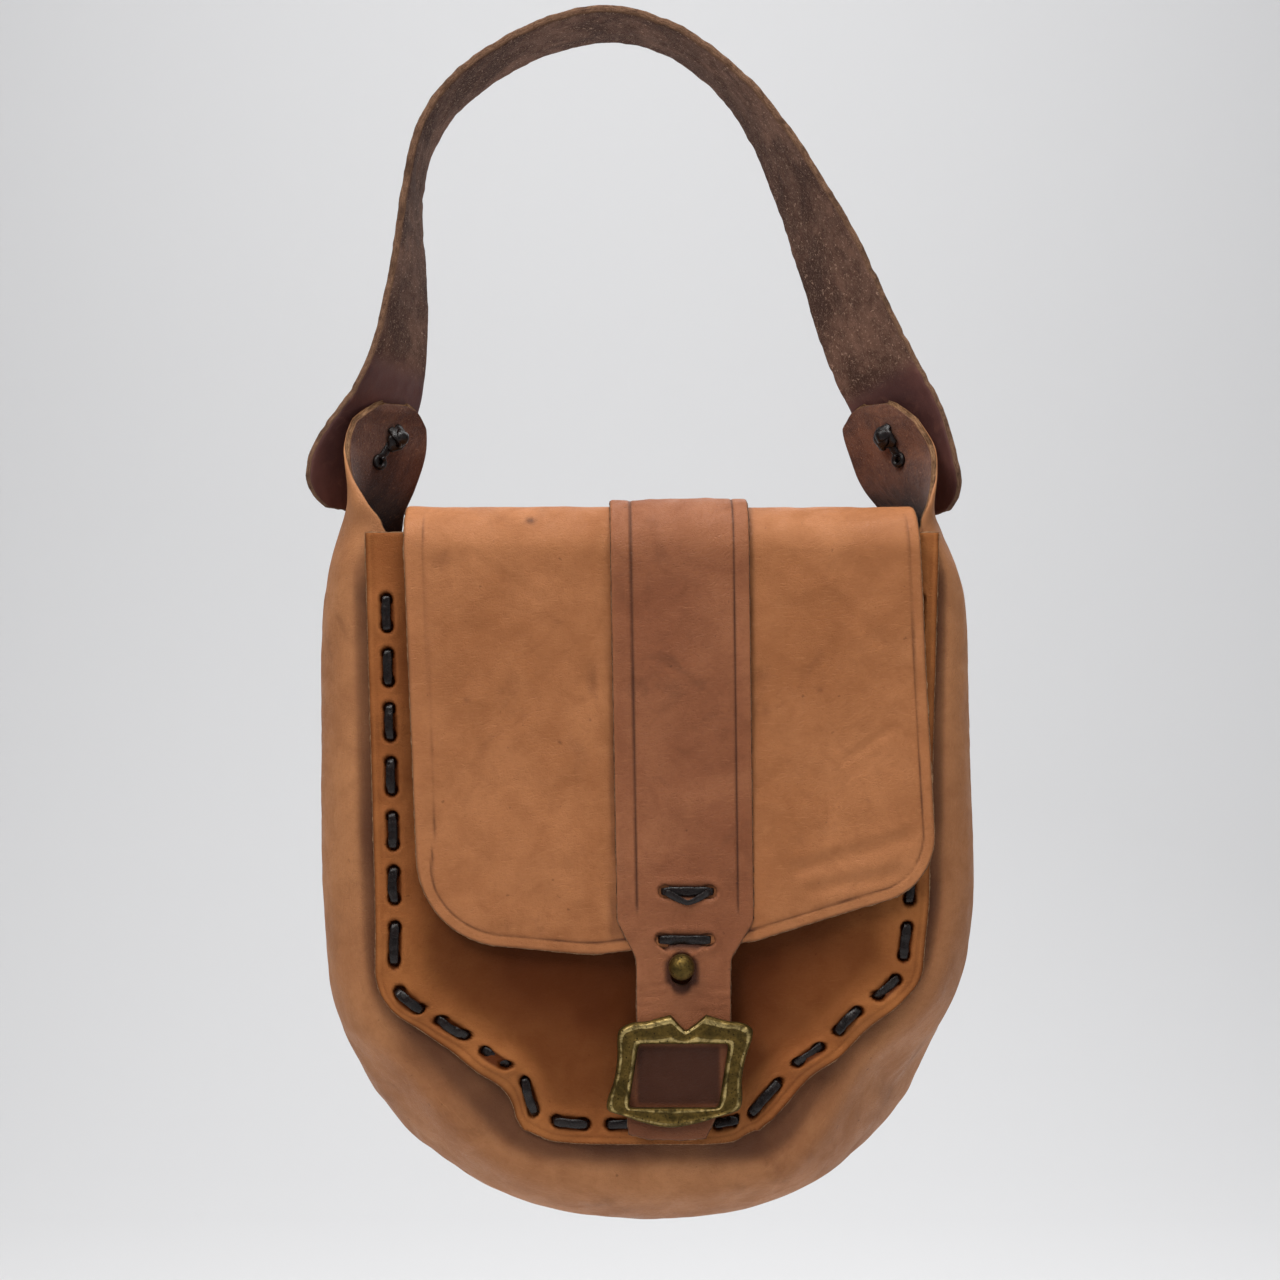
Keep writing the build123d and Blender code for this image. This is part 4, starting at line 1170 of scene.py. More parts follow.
def strap_details(flat, bump, mark):
    """Holes of the two laces, the leather drawn in around the stud's buttonhole, and painted shade around the
    stud and in the buckle's window.
    """
    for h, x0, x1 in (UPPER, LOWER):
        segment = (np.array([x0, SF(h)]), np.array([x1, SF(h)]))
        relief, dark = hole_relief_and_shade(flat, segment, [segment])
        bump += relief
        mark = np.maximum(mark, dark)
    d = distance_to_segment(flat, (STUD[0], SF(STUD[1])), (STUD[0], SF(STUD[1] - 5.5)))
    bump += 0.5 * bell(d - 8.0, 2.2)
    # painted shadow: a dark ring on the strap around the stud's ball and below it
    mark = np.maximum(mark, 0.9 * smooth(8.6 - d, 0, 2.6))
    s = flat[..., 1]
    # painted shade: the strap is darker inside the buckle's window; below that, darker from the window's top down
    # to the strap's end
    window_x, window_s = 11.2 + 0.16 * -2.2, SF(-223.2)
    inside = smooth(19.5 - np.abs(flat[..., 0] - window_x), 0, 4) * smooth(14.5 - np.abs(s - window_s), 0, 4)
    mark = np.maximum(mark, 0.9 * inside)
    mark = np.maximum(mark, 0.45 * smooth(s, SF(-205), SF(-212)))
    for k, h in enumerate((-187, -191.5, -196)):
        bump -= 0.25 * bell(s - SF(h) + 0.9 * np.sin(flat[..., 0] / 7 + k), 0.8)
    return bump, mark


def open_stadium(flat, a, b, radius):
    """Warps the grid so that a block of it has the outline of a round-ended hole; returns both."""
    a, b = np.array(a, float), np.array(b, float)
    centre = (a + b) / 2
    gap = np.linalg.norm(flat - centre, axis=-1)
    row, col = np.unravel_index(np.argmin(gap), gap.shape)
    step_x = abs(flat[row, col + 1, 0] - flat[row, col, 0])
    step_s = abs(flat[row + 1, col, 1] - flat[row, col, 1])
    half_c = int(round(0.78 * radius / step_x))
    half_r = int(round((0.78 * radius + np.linalg.norm(b - a) / 2) / step_s))
    r, c = np.indices(gap.shape)
    q = np.maximum(np.abs(r - row) / half_r, np.abs(c - col) / half_c)
    near = (q >= 1 - 1e-9) & (q < 2.1)
    away = flat[near] - flat[row, col]
    old = np.linalg.norm(away, axis=1)
    direction = away / old[:, None]
    low, high = np.zeros(len(old)), np.full(len(old), 40.0)
    for _ in range(30):
        half = (low + high) / 2
        inside = distance_to_segment(centre + direction * half[:, None], a, b) < radius
        low, high = np.where(inside, half, low), np.where(inside, high, half)
    share = np.clip((q[near] - 1) / 1.1, 0, 1)
    reach = low + (old - low) * share
    start = flat[row, col] + (centre - flat[row, col]) * (1 - share[:, None])
    out = flat.copy()
    out[near] = start + direction * reach[:, None]
    return out, (row - half_r, row + half_r, col - half_c, col + half_c)


flat, bump, mark, wear = strap_piece(0, SEAM_S, None, 1.0)
grid, normal = over_grid(flat, -1, STRAP_LIFT)
strap_top = leather_sheet(
    "centre_strap_upper_leather", grid, normal, STRAP_LEATHER, [STRAP, STRAP_EDGE, FLESH], flat + [300, 0],
    {"mark": np.clip(mark, 0, 1), "wear": np.clip(wear, 0, 1)}, bump * smooth(flat[..., 1], 2, 14), "tb",
)
finish_piece(strap_top, "strap_leather", "centre_strap_top")
a, b = across(FRONT, (-1, -1), BEND_REACH)
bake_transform(strap_top)

flat, bump, mark, wear = strap_piece(SEAM_S, 1e4, strap_bottom, 0.8)
bump, mark = strap_details(flat, bump, mark)
flat, block = open_stadium(flat, (STUD[0], SF(STUD[1])), (STUD[0], SF(STUD[1] - 3.6)), 4.6)
grid, normal = over_grid(flat, -1, STRAP_LIFT)
strap_low = leather_sheet(
    "centre_strap_lower_leather", grid, normal, STRAP_LEATHER, [STRAP, STRAP_EDGE, FLESH], flat + [300, 0],
    {"mark": np.clip(mark, 0, 1), "wear": np.clip(wear, 0, 1)}, bump, "t", block,
)
finish_piece(strap_low, "strap_leather", "centre_strap_front", "tongue")
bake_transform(strap_low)

# rear end of the centre strap, over the rear half of the top and laced to the back panel
rear_l = rounded([(-17.6, 0), (-17.4, SB(-60)), (10, SB(-60.5))], [0, 12, 0])
rear_r = rounded([(39.2, 0), (39.4, SB(-60)), (10, SB(-60.5))], [0, 12, 0])
k_l, k_r = turn_index(rear_l), turn_index(rear_r)
rear_bottom = np.vstack([rear_l[k_l:], rear_r[k_r:-1][::-1]])
l, r = rear_l[: k_l + 1], rear_r[: k_r + 1]
u = shares(57, True, True, 0.7, 1.1, 8)
v = shares(SB(-60), False, True, 1.0, 1.15, 6)
flat = coons(l, r, np.array([l[0], r[0]]), rear_bottom, u, v)
rear_rim = np.vstack([rear_l, rear_r[::-1]])
bump, mark, wear = strap_relief(flat, 1, rear_rim)
BACK_LACE_H, BACK_LACE_X = -44.0, (2.0, 20.0)
segment = tuple(np.array([end_x, SB(BACK_LACE_H)]) for end_x in BACK_LACE_X)
relief, dark = hole_relief_and_shade(flat, segment, [segment])
grid, normal = over_grid(flat, 1, STRAP_LIFT)
strap_rear = leather_sheet(
    "centre_strap_rear_leather", grid, normal, STRAP_LEATHER, [STRAP, STRAP_EDGE, FLESH], flat + [500, 0],
    {"mark": np.clip(np.maximum(mark, dark), 0, 1), "wear": np.clip(wear, 0, 1)},
    (bump + relief) * smooth(flat[..., 1], 2, 14), "t",
)
finish_piece(strap_rear, "strap_leather", "centre_strap_back")
a, b = across(REAR, (-1, 1), BEND_REACH)
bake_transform(strap_rear)

# laces on the centre strap
STRAP_FACE = FLAP_Y - STRAP_LIFT


def strap_lace(name, spec, face_y, inner_y, out_y, seed, node, body, loop=False):
    """A thong through two holes at (height, x0, x1), with a hanging loop if asked for."""
    h, x0, x1 = spec
    parts = [stitch((x0, h), (x1, h), face_y, out_y, seed)]
    parts.append(stitch((x0, h), (x1, h), inner_y, -out_y, seed + 1))
    if loop:
        t = np.linspace(0, 1, 22)
        sag = -4.6 * (1 - np.abs(2 * t - 1) ** 1.3)
        lift = 0.8 + 1.1 * np.sin(t * math.pi) ** 0.7
        path = np.stack([x0 + (x1 - x0) * t, face_y + out_y * lift, h + 0.2 + sag], 1)
        side = np.tile(np.array([0.2, 0.25 * out_y, 1.0]), (22, 1))
        parts.append(tube(path, side, 2.7 + 0.4 * np.sin(t * 9), 1.1, 12, 3.0, 77.0))
    return thong(name, parts, node, body)


FLAP_INSIDE = FLAP_Y + LEATHER
strap_lace(
    "upper_strap_lace_thong", UPPER, STRAP_FACE, FLAP_INSIDE, -1, 501, "upper_strap_lace", "flap_down_front", True
)
strap_lace(
    "lower_strap_lace_thong", LOWER, STRAP_FACE, FLAP_INSIDE, -1, 511, "lower_strap_lace", "flap_down_front"
)
strap_lace(
    "back_strap_lace_thong", (BACK_LACE_H, *BACK_LACE_X), BACK_Y + STRAP_LIFT, BACK_Y - LEATHER, 1, 521,
    "back_strap_lace", "bag",
)

# ------------------------------------------------------------------ gusset
FRONT_FLANGE = LEATHER * 1.5 + 0.9
REAR_FLANGE = DEPTH - LEATHER / 2 - 0.9
# half station: front x, front h, rear x, rear h, direction, bulge left, bulge right, flange
BODY = [
    (119, -14, 119, -16, 0, 19, 10, 16),
    (118.4, -40, 118.6, -42, 0, 22, 15, 16),
    (117.6, -74, 118, -76, 0, 23, 17, 16),
    (115.6, -134, 117, -139, 0, 24, 21, 16),
    (113.6, -178, 116.5, -186, -10, 23, 22, 16),
    (107, -198, 113.5, -212, -34, 24, 24, 16),
    (84, -221.5, 101, -241, -46, 25, 25, 16),
    (61, -244, 78, -257.5, -56, 25, 25, 16),
    (48, -252.5, 54, -262.5, -71, 27, 27, 16),
    (25, -253.5, 27, -264.5, -87, 33, 33, 16),
    (0, -253.5, 0, -264.5, -90, 35, 35, 16),
]
# tab rows: height, front x, front y, rear x, rear y, bulge
LEFT_TAB = [
    (57.6, -115.2, 34, -106.4, 46, 0.3),
    (56.6, -117.6, 31, -104.2, 49.5, 0.4),
    (55, -119.5, 28, -102.5, 52, 0.5),
    (52, -123.2, 24.2, -101.0, 55.6, 0.8),
    (48.5, -126.5, 21, -100, 58.5, 1),
    (37, -129, 17.5, -100.6, 60, 2),
    (24, -125.6, 11, -105, 65, 6),
    (12.5, -118.6, 5.5, -110.5, 71, 13),
    (3, -112.5, FRONT_FLANGE, -112.5, 74, 20),
]
RIGHT_TAB = [
    (57.6, 101.5, 34, 92.5, 46, 0.3),
    (56.6, 103.9, 31, 90.2, 49.5, 0.4),
    (55, 106, 28, 88, 52, 0.5),
    (52, 109.4, 24.2, 86.4, 55.6, 0.7),
    (48.5, 112.5, 21, 85, 58.5, 1),
    (37, 118, 17.5, 88.4, 60, 2),
    (24, 118, 11, 94.5, 65, 2),
    (12.5, 115, 5.5, 104, 71, 5.5),
    (3, 112, FRONT_FLANGE, 111, 74, 11),
]


stations = [(r[1], r[2], r[0], r[3], r[4], r[0], 180, r[5], 0.01) for r in LEFT_TAB]
stations += [(-q[0], FRONT_FLANGE, q[1], -q[2], REAR_FLANGE, q[3], 180 - q[4], q[5], q[7]) for q in BODY]
stations += [(q[0], FRONT_FLANGE, q[1], q[2], REAR_FLANGE, q[3], 360 + q[4], q[6], q[7]) for q in BODY[-2::-1]]
stations += [(r[1], r[2], r[0], r[3], r[4], r[0], 360, r[5], 0.01) for r in RIGHT_TAB[::-1]]
stations = np.array(stations, float)
GUSSET_STEP, ACROSS = 1.25, 96
knots = lengths((stations[:, 0:3] + stations[:, 3:6]) / 2)
along = np.linspace(0, knots[-1], int(knots[-1] / GUSSET_STEP))
rows = hermite(stations, knots, along)
PUFF = 4.2
fine = []
flat_rows = []
for row, t in zip(rows, along):
    front, rear = row[0:3], row[3:6]
    angle, bulge, flange = math.radians(row[6]), row[7], max(row[8], 0.01)
    out = np.array([math.cos(angle), 0, math.sin(angle)])
    w = np.linspace(0, 1, 61)
    share = (1 - np.cos(math.pi * w)) / 2
    arc = front + (rear - front) * share[:, None] + out * (bulge * np.sin(math.pi * w) ** 0.9)[:, None]
    head = front - out * flange * np.linspace(1, 0, 9)[:-1, None]
    tail = rear - out * flange * np.linspace(0, 1, 9)[1:, None]
    puff = PUFF * math.exp(-(((abs(row[0]) - 92) / 26) ** 2)) * smooth(-row[2], 165, 205)
    puff += 2.2 * smooth(-row[2], 215, 250)
    arc = arc - np.outer(puff * bell(w - 0.20, 0.085), [0, 1, 0])
    line = resample(np.vstack([head, arc, tail]), ACROSS)
    fine.append(line)
    width = lengths(line)
    flat_rows.append(np.stack([np.full(ACROSS, t), width - width[-1] / 2], 1))
middle = np.array(fine)
flat = np.array(flat_rows)
# the gusset's corners sink inward: place (x, h), moved by (dx, dh), reach, all mm
TUCKS = [((106, -226), (-13, 8), 40), ((-104, -222), (2, 2), 26)]
front_share = 1 - smooth(middle[..., 1], 40, 74)
for spot, move, reach in TUCKS:
    share = front_share * np.exp(-((middle[..., [0, 2]] - spot) ** 2).sum(-1) / reach**2)
    middle[..., 0] += share * move[0]
    middle[..., 2] += share * move[1]
normal = grid_normals(middle)
centre = np.array([0, DEPTH / 2, -120.0])
if np.mean(np.einsum("ijk,ijk->ij", normal, middle - centre)) < 0:
    normal = -normal
p3 = deepened(flat, 3)
front_d = np.abs(middle[..., 1] - FRONT_FLANGE)
rear_d = np.abs(middle[..., 1] - REAR_FLANGE)
inside_seam = np.minimum(front_d, rear_d)
free = smooth(inside_seam, 1.5, 12)
body_part = smooth(along, 60, 90) * smooth(along[-1] - along, 60, 90)
body_part = body_part[:, None]
total = along[-1]
low_turn = bell(along - total * 0.36, 40) + bell(along - total * 0.64, 40)
folds = fbm(np.stack([flat[..., 0] / 1.0, flat[..., 1] / 3.2, flat[..., 0] * 0 + 5], -1), 13, 2, 90)
bump = free * body_part * (1.2 * fbm(p3, 60, 2, 91) + (0.10 + 0.8 * low_turn[:, None]) * folds)
bump += free * 0.2 * fbm(p3, 8, 2, 92)
bump += (1 - body_part) * 0.5 * fbm(p3, 24, 2, 93)
# painted shadow: the gusset is dark along the seams where it meets the panels
seam_shadow = bell(inside_seam, 0.9) * body_part
edge_rows = np.minimum(along, along[-1] - along)[:, None]
tab = 1 - body_part
edge_cols = np.minimum(np.arange(ACROSS), np.arange(ACROSS)[::-1])[None] * 0.9
tab_edge = np.minimum(edge_rows, edge_cols)
# painted shade: the gusset's sides, away from the seams, are a little darker
mark = 0.12 * fbm(p3, 24, 3, 94) + 0.75 * seam_shadow + 0.22 * body_part * smooth(inside_seam, 12, 36)
wear = 0.6 * np.clip(bump, 0, 1) * body_part + 0.8 * tab * np.exp(-tab_edge / 1.2)
outer_face = middle + normal * (LEATHER / 2)
gusset = leather_sheet(
    "gusset_leather", outer_face, normal, LEATHER, [GUSSET, TAN_EDGE, TAB_FLESH], flat,
    {"mark": np.clip(mark, 0, 1), "wear": np.clip(wear, 0, 1)}, bump,
)
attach(gusset, "bag")
finish_piece(gusset, "tan_leather", "gusset")

# ------------------------------------------------------------------ shoulder strap
BELT = np.array(
    [
        (-135.6, 12.5, 38, 14),
        (-135.1, 16.5, 39, 30),
        (-133.6, 22.5, 40, 42),
        (-129.9, 31.5, 42, 45),
        (-124.2, 41.5, 40, 45),
        (-116.2, 56.5, 31, 45),
        (-110.2, 74.5, 23, 45),
        (-106.5, 98.5, 15.5, 45),
        (-104.8, 122.5, 8.5, 45),
        (-103.8, 145.5, 2, 45),
        (-101.4, 161.5, 0, 45),
        (-96, 176.5, 0, 45),
        (-85.5, 191.5, 0, 45),
        (-67.5, 206, 0, 45),
        (-44, 217.2, 0, 45),
        (-17, 222.3, 0, 45),
        (7, 216, 0, 45),
        (27.5, 202.5, 2, 45),
        (44, 184, 6, 45),
        (57, 163, 13, 45),
        (71.5, 133, 24, 45),
        (84, 102.5, 33, 45),
        (94.6, 77.5, 39, 45),
        (104.5, 58.5, 40, 45),
        (111.2, 46, 38, 45),
        (115.2, 36, 34, 45),
        (118.3, 27, 31, 45),
        (121.0, 19.5, 30, 42),
        (123.3, 14, 30, 30),
        (124.5, 10.5, 30, 14),
    ],
    float,
)
BELT_T = 3.6
BELT_WIDE = 45
BELT_ROWS = 460
knots = lengths(BELT[:, :2])
t = np.linspace(0, knots[-1], BELT_ROWS)
line = hermite(BELT, knots, t)
tangent = unit(np.stack([np.gradient(line[:, 0]), np.zeros(len(t)), np.gradient(line[:, 1])], 1))
outward = np.stack([-tangent[:, 2], np.zeros(len(t)), tangent[:, 0]], 1)
twist = np.radians(line[:, 2])
to_front = np.stack([np.zeros(len(t)), -np.cos(twist), np.zeros(len(t))], 1) + outward * np.sin(twist)[:, None]
face = unit(np.cross(tangent, to_front))
face *= np.sign(np.einsum("ij,ij->i", face, outward))[:, None]
width = np.minimum(line[:, 3], BELT_WIDE)
c = np.linspace(1, -1, 44)
middle_line = np.stack([line[:, 0], np.full(len(t), MID_Y), line[:, 1]], 1)
ragged = 0.35 * fbm(np.stack([t, t * 0, t * 0], 1), 4, 3, 101)[:, None] * (np.abs(c) > 0.9)
half = width[:, None] / 2 + ragged
grid = middle_line[:, None] + to_front[:, None] * (half * c[None])[..., None] + face[:, None] * (BELT_T / 2)
flat = np.stack([np.broadcast_to(t[:, None], half.shape), half * c[None]], -1)
normal = np.broadcast_to(face[:, None], grid.shape)
p3 = deepened(flat, 9)
bump = 0.35 * fbm(p3, 5, 3, 102) + 0.5 * fbm(p3, 26, 2, 103) + 0.35 * (c[None] ** 2)
loop = smooth(t, 70, 120)[:, None] * smooth(t[-1] - t, 70, 120)[:, None]
bump *= 0.4 + 0.6 * loop
smooth_end = np.clip(smooth(t, 85, 50) + smooth(t[-1] - t, 75, 50), 0, 1)[:, None]
mark = np.clip(0.15 * fbm(p3, 20, 3, 104), 0, 1)
wear = 0.5 * np.exp(-np.abs(np.abs(flat[..., 1]) - 22) / 1.5)
shoulder = leather_sheet(
    "shoulder_strap_leather", grid, normal, BELT_T, [BELT_EDGE, BELT_EDGE, BELT_EDGE], flat + [800, 0],
    {"mark": mark, "wear": wear, "smoothness": np.broadcast_to(smooth_end, mark.shape)}, bump,
)


def strap_skin():
    """Suede on the loop, smooth dark leather on the two ends, by the "smoothness" attribute."""
    n = Nodes("shoulder_strap_skin")
    rest = n.attribute("rest", True)
    ends = n.fit(n.attribute("smoothness"), 0.2, 0.8)
    broad = n.noise(rest, 0.03, 4, 0.65, 0.5)
    middle = n.noise(rest, 0.16, 5, 0.7, 0.8)
    fibre = n.noise(n.scaled(rest, (0.55, 1.5, 1)), 1.3, 5, 0.75, 1.5)
    fleck = n.noise(rest, 0.8, 3, 0.6, 1.0)
    light, base, dark = colour(196, 162, 138), colour(132, 98, 82), colour(72, 48, 40)
    tone = n.mix(n.fit(broad, 0.35, 0.65), dark, base)
    tone = n.mix(n.fit(middle, 0.42, 0.68, 0.0, 0.7), tone, dark)
    tone = n.mix(n.fit(fibre, 0.50, 0.68, 0.0, 0.5), tone, light)
    tone = n.mix(n.fit(fleck, 0.60, 0.67, 0.0, 0.8), tone, light)
    glossy = n.mix(n.fit(broad, 0.3, 0.7), colour(78, 48, 46), colour(104, 66, 60))
    glossy = n.mix(n.fit(middle, 0.5, 0.75, 0.0, 0.5), glossy, colour(124, 82, 70))
    n.set(Base_Color=n.mix(ends, tone, glossy))
    n.set(Roughness=n.fit(ends, 0.0, 1.0, 0.94, 0.46))
    rough_height = n.math("ADD", fibre, middle)
    height = n.math("MULTIPLY", rough_height, n.fit(ends, 0.0, 1.0, 1.0, 0.25))
    n.set(Normal=n.bump(height, 0.8, 0.0009))
    n.set(Specular_IOR_Level=0.3)
    return n.material


skin = strap_skin()
shoulder.data.materials[0] = skin
shoulder.data.materials[2] = skin
finish_piece(shoulder, "suede_leather", "shoulder_strap", "left_strap_end", "right_strap_end")
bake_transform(shoulder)

# ------------------------------------------------------------------ ties
def tie(name, spots, side, reach, node, folds):
    """A flat thong through two holes of a tab: folded lumps at the first, a small coil at the second."""
    twist = math.radians(42)
    out = np.array([side * math.cos(twist), math.sin(twist), 0])
    a, b = [np.array(spot, float) for spot in spots]
    up = np.array([0.0, 0.0, 1.0])
    level = unit(np.cross(up, out)) * side

    def strand(p, q, wide, thick, seed, hump=0.0):
        n = 22
        s = np.linspace(0, 1, n)
        path = p + (q - p) * s[:, None] - out * (hump * np.sin(s * math.pi))[:, None]
        cross = unit(np.cross(unit(q - p), out))
        return tube(path, np.tile(cross, (n, 1)), wide, thick, 14, 2.8, seed)

    in_a, in_b = a - out * 1.8, b - out * 1.8
    out_a, out_b = a + out * reach, b + out * reach
    parts = [strand(in_a, out_a, 3.6, 2.4, 900.0), strand(in_b, out_b, 3.6, 2.4, 910.0)]
    parts.append(strand(out_a + out * 0.4, out_b + out * 0.4, 4.6, 1.5, 920.0, -1.2))
    parts.append(strand(in_a, in_b, 3.6, 1.6, 930.0, 0.6))
    for k, (turn, length, wide, thick, hump, lift) in enumerate(folds):
        along = level * math.sin(turn) + up * math.cos(turn)
        base = in_a - out * lift
        s = np.linspace(-0.5, 0.5, 24)
        path = base + along * (length * s)[:, None] - out * (hump * np.cos(s * math.pi))[:, None]
        cross = unit(np.cross(along, out)) + 0.25 * out * (-1) ** k
        taper = wide * (1 - 0.55 * smooth(np.abs(s), 0.2, 0.5))
        parts.append(tube(path, np.tile(cross, (len(s), 1)), taper, thick, 14, 2.4, 940.0 + 10 * k))
    tau = np.linspace(0, 2.4 * math.pi, 40)
    ring = 2.7 - 0.32 * tau / math.pi
    path = in_b - out * (0.8 + 0.55 * tau / math.pi)[:, None]
    path = path + (ring * np.cos(tau))[:, None] * level + (ring * np.sin(tau))[:, None] * up
    parts.append(tube(path, np.tile(out, (len(tau), 1)), 2.6, 2.3, 12, 2.2, 990.0))
    return thong(name, parts, node, "bag")


# folds: turn from upright, length, width, thickness, hump, lift off the tab
LEFT_FOLDS = [
    (0.5, 11.5, 8.5, 2.8, 3.0, 0.4), (-0.7, 9.5, 7.0, 2.6, 3.6, 1.2), (0.1, 7.5, 5.5, 2.4, 4.0, 2.4),
]
RIGHT_FOLDS = [
    (1.0, 11.0, 8.5, 2.2, 2.0, 0.4), (-0.35, 10.5, 7.5, 2.2, 3.0, 1.2), (1.9, 8.0, 5.0, 2.0, 3.4, 2.0),
]
tie("left_strap_tie_thong", ((-113.4, 42, 43), (-119.5, 36, 32)), -1, 11.5, "left_strap_tie", LEFT_FOLDS)
tie("right_strap_tie_thong", ((103.4, 38, 43), (108.8, 36.2, 33)), 1, 12.0, "right_strap_tie", RIGHT_FOLDS)

# ------------------------------------------------------------------ stud
def lathe_y(profile, x, h, steps):
    """A turned part about an axis along y: profile of (radius, y)."""
    profile = np.asarray(profile, float)
    a = np.linspace(0, 2 * math.pi, steps, endpoint=False)
    ring = np.stack([np.cos(a), np.sin(a)], 1)
    points = np.concatenate(
        [np.stack([x + r * ring[:, 0], np.full(steps, y), h + r * ring[:, 1]], 1) for r, y in profile]
    )
    last = (len(profile) - 1) * steps
    caps = [list(range(steps))[::-1], list(range(last, last + steps))]
    return points, ring_faces(len(profile), steps) + caps


STUD_STEPS = 56
BALL_R = 5.4
ball_y = STRAP_FACE - 4.6
profile = []
for t in np.linspace(0.04, math.pi * 0.84, 30):
    profile.append((BALL_R * math.sin(t), ball_y - BALL_R * math.cos(t)))
profile += [(2.4, ball_y + BALL_R), (2.35, -2.2), (2.8, -1.6), (4.2, -1.35), (4.5, -1.0), (4.5, -0.25)]
profile.append((4.2, -0.05))
points, faces = lathe_y(profile, STUD[0], STUD[1], STUD_STEPS)
wear = np.repeat(np.clip([smooth(ball_y + 1.5 - p[1], 0, 5) for p in profile], 0, 1), STUD_STEPS)
stud = make_object(
    "stud_ball_turned", points, faces, [BRASS], None, points + [700, 0, 0], {"wear": 0.5 * wear}
)
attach(stud, "bag")
finish_piece(stud, "aged_brass", "stud_ball")

# ------------------------------------------------------------------ buckle
BUCKLE_X, BUCKLE_H, LEAN = 11.2, -220.9, 0.16
HALF_CONTOUR = [
    (7.3, 22.7), (12.5, 21.2), (17, 20), (22.5, 19.4), (27, 17), (27.6, 13), (26.3, 5), (26.2, -4),
    (27.6, -12), (26.6, -16.4), (20, -18.6), (11, -21.6), (0, -23.4),
]
right = np.array(HALF_CONTOUR, float)
left = (right * [-1, 1])[:-1][::-1]
side = curve_points(np.vstack([right, left]), 260)
notch = rounded([left[-1], (-3.2, 18.8), (0, 16.2), (3.2, 18.8), right[0]], [0, 3, 1.2, 3, 0], 0.4)[1:-1]
outer_ring = np.vstack([side, notch])
RINGS = 300
outer_ring = resample(np.vstack([outer_ring, outer_ring[:1]]), RINGS + 1)[:-1]
WINDOW_HALF, WINDOW_TOP, WINDOW_LOW = 18.4, 10.8, -15.3
window = [
    (WINDOW_HALF, WINDOW_TOP), (WINDOW_HALF, WINDOW_LOW), (-WINDOW_HALF, WINDOW_LOW), (-WINDOW_HALF, WINDOW_TOP),
]
window = rounded([(0, WINDOW_TOP), *window, (0, WINDOW_TOP)], [0, 1.6, 1.6, 1.6, 1.6, 0], 0.3)
angle_outer = np.arctan2(outer_ring[:, 1] + 2, outer_ring[:, 0])
angle_window = np.unwrap(np.arctan2(window[:, 1] + 2, window[:, 0]))
order = np.argsort(np.mod(angle_window, 2 * math.pi))
aw = np.mod(angle_window, 2 * math.pi)[order]
ww = window[order]
ao = np.mod(angle_outer, 2 * math.pi)
inner_ring = np.stack([np.interp(ao, aw, ww[:, k], period=2 * math.pi) for k in range(2)], 1)
FRAME_T = 3.0
BUCKLE_BACK = STRAP_FACE - 0.4
# profile across the frame: share from outer to inner edge, and height above the back (share of FRAME_T)
PROFILE = [
    (0.02, 0.0), (0.0, 0.12), (0.0, 0.45), (0.03, 0.72), (0.09, 0.93), (0.16, 1.0), (0.24, 0.97), (0.31, 0.86),
    (0.38, 0.79), (0.5, 0.78), (0.62, 0.80), (0.70, 0.88), (0.78, 0.99), (0.86, 1.0), (0.93, 0.92), (0.98, 0.72),
    (1.0, 0.4), (1.0, 0.1), (0.98, 0.0),
]
points, marks = [], []
for share, lift in PROFILE:
    ring = outer_ring + (inner_ring - outer_ring) * share
    wobble = 0.12 * fbm(deepened(ring, share * 9), 5, 2, 111)
    y = BUCKLE_BACK - FRAME_T * lift - wobble * (lift > 0.5)
    xs = BUCKLE_X + ring[:, 0] + LEAN * ring[:, 1]
    points.append(np.stack([xs, y, BUCKLE_H + ring[:, 1]], 1))
    crest = smooth(lift, 0.84, 1.0)
    top = smooth(ring[:, 1], 8, 20) * 0.35
    marks.append(np.clip(crest * 0.9 + top * (lift > 0.6), 0, 1))
n = len(PROFILE)
faces = []
for i in range(n):
    for k in range(RINGS):
        j = (k + 1) % RINGS
        a, b = i * RINGS, ((i + 1) % n) * RINGS
        faces.append([a + j, a + k, b + k, b + j])
points = np.vstack(points)
buckle = make_object(
    "buckle_frame_cast", points, faces, [BRASS], None, points + [0, 0, 400], {"wear": np.concatenate(marks)}
)
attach(buckle, "buckle")
finish_piece(buckle, "aged_brass", "buckle_frame")

for node in ("stud_screw", "buckle_bar"):
    obj = frame["nodes"][node]
    obj.data.materials.clear()
    obj.data.materials.append(BRASS_PLAIN)

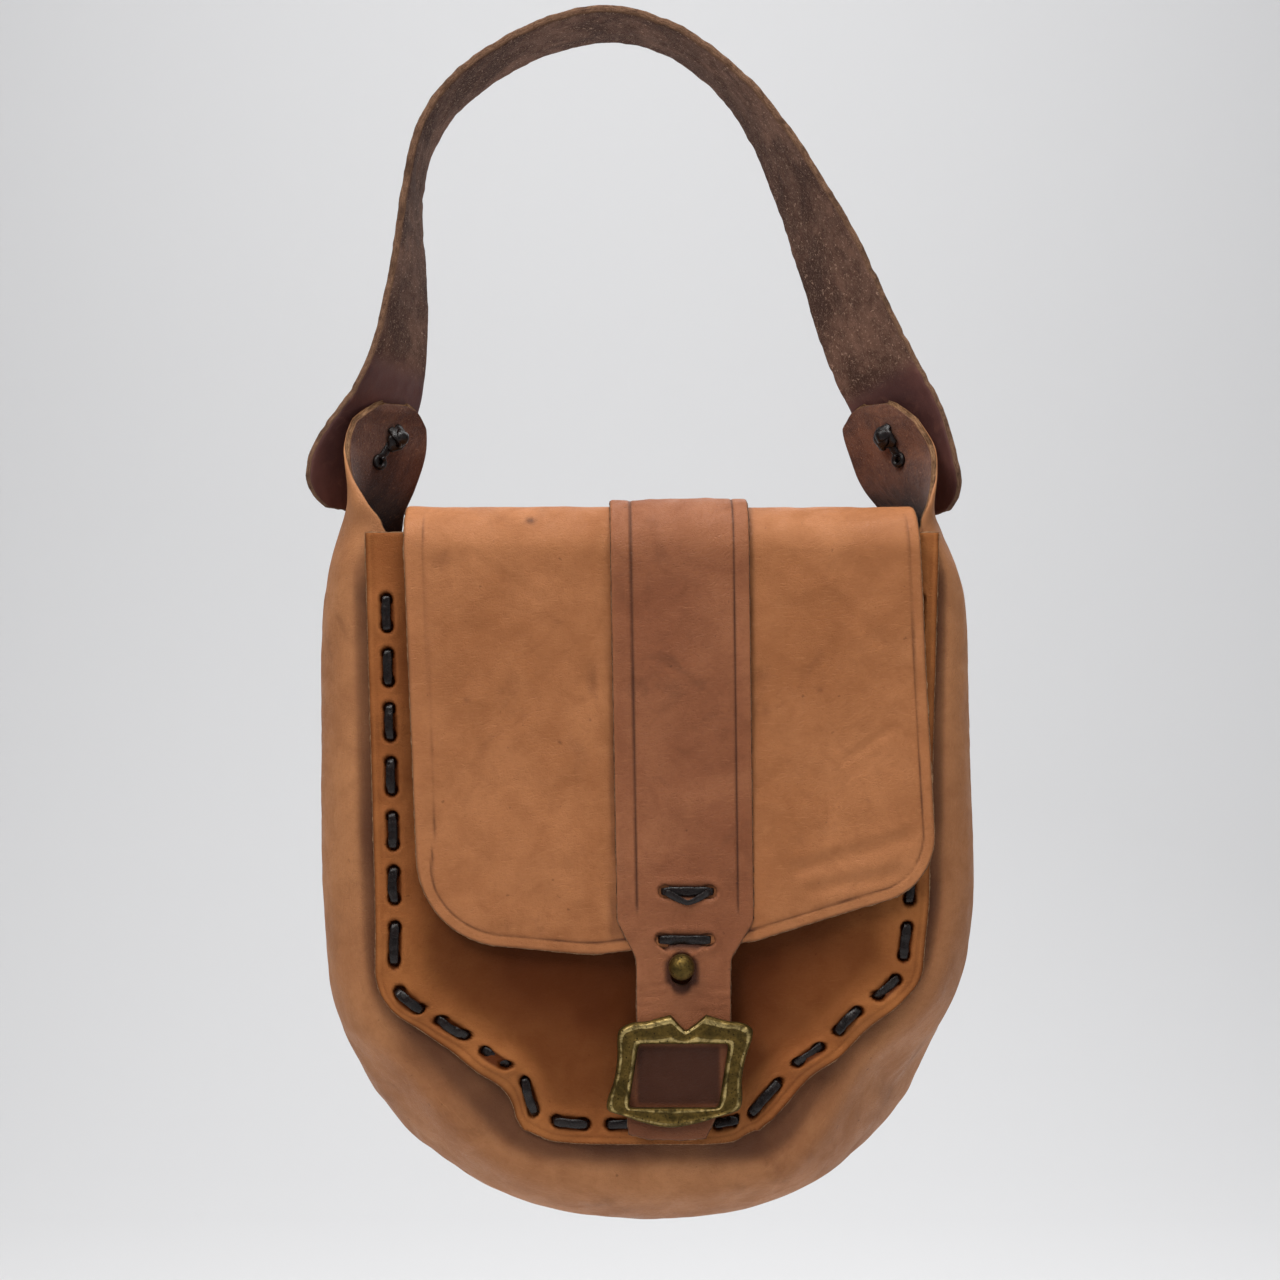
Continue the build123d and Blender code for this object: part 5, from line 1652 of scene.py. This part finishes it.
# ------------------------------------------------------------------ studio
floor_mat = Nodes("studio_floor")
floor_mat.set(Base_Color=colour(232, 232, 233))
floor_mat.set(Roughness=0.9)
profile = [(-6, -0.95), (1.6, -0.95)]
for t in np.linspace(0, math.pi / 2, 14):
    profile.append((1.6 + 1.2 * math.sin(t), -0.95 + 1.2 * (1 - math.cos(t))))
profile.append((2.8, 4.0))
points = [(x, y, z) for y, z in profile for x in (-7.0, 7.0)]
faces = [[2 * i, 2 * i + 1, 2 * i + 3, 2 * i + 2] for i in range(len(profile) - 1)]
mesh = bpy.data.meshes.new("studio_floor")
mesh.from_pydata(points, [], faces)
mesh.polygons.foreach_set("use_smooth", [True] * len(faces))
mesh.materials.append(floor_mat.material)
floor = bpy.data.objects.new("studio_floor", mesh)
bpy.context.scene.collection.objects.link(floor)

world = bpy.data.worlds.new("studio")
world.use_nodes = True
world.node_tree.nodes["Background"].inputs["Color"].default_value = colour(236, 238, 242)
world.node_tree.nodes["Background"].inputs["Strength"].default_value = 0.27
bpy.context.scene.world = world


def area_light(name, at, target, size, power, tint):
    data = bpy.data.lights.new(name, "AREA")
    data.size = size
    data.energy = power
    data.color = tint
    obj = bpy.data.objects.new(name, data)
    bpy.context.scene.collection.objects.link(obj)
    obj.location = at
    direction = np.array(target) - np.array(at)
    obj.rotation_euler = Vector(direction).to_track_quat("-Z", "Y").to_euler()
    return obj


area_light("key", (-0.9, -1.3, 1.0), (0.0, 0.0, -0.25), 0.8, 19, (1.0, 0.98, 0.95))
area_light("fill", (1.3, -1.4, 0.2), (0.0, 0.0, -0.3), 1.3, 3, (0.96, 0.98, 1.0))
area_light("top", (0.1, -0.35, 1.2), (0.0, 0.0, -0.2), 0.9, 22, (1.0, 0.99, 0.97))
area_light("rear", (0.6, 1.4, 0.9), (0.0, 0.0, -0.2), 1.2, 7, (1.0, 1.0, 1.0))
area_light("backdrop", (0.0, 0.9, 1.6), (0.0, 2.8, 0.0), 2.2, 27, (1.0, 1.0, 1.0))

camera_data = bpy.data.cameras.new("camera")
camera_data.lens = 59.0
camera_data.sensor_width = 36
camera = bpy.data.objects.new("camera", camera_data)
bpy.context.scene.collection.objects.link(camera)
camera.location = (0.012, -0.910, -0.265)
camera.rotation_euler = (math.pi / 2, 0, 0)
bpy.context.scene.camera = camera
bpy.context.scene.view_settings.view_transform = "Standard"
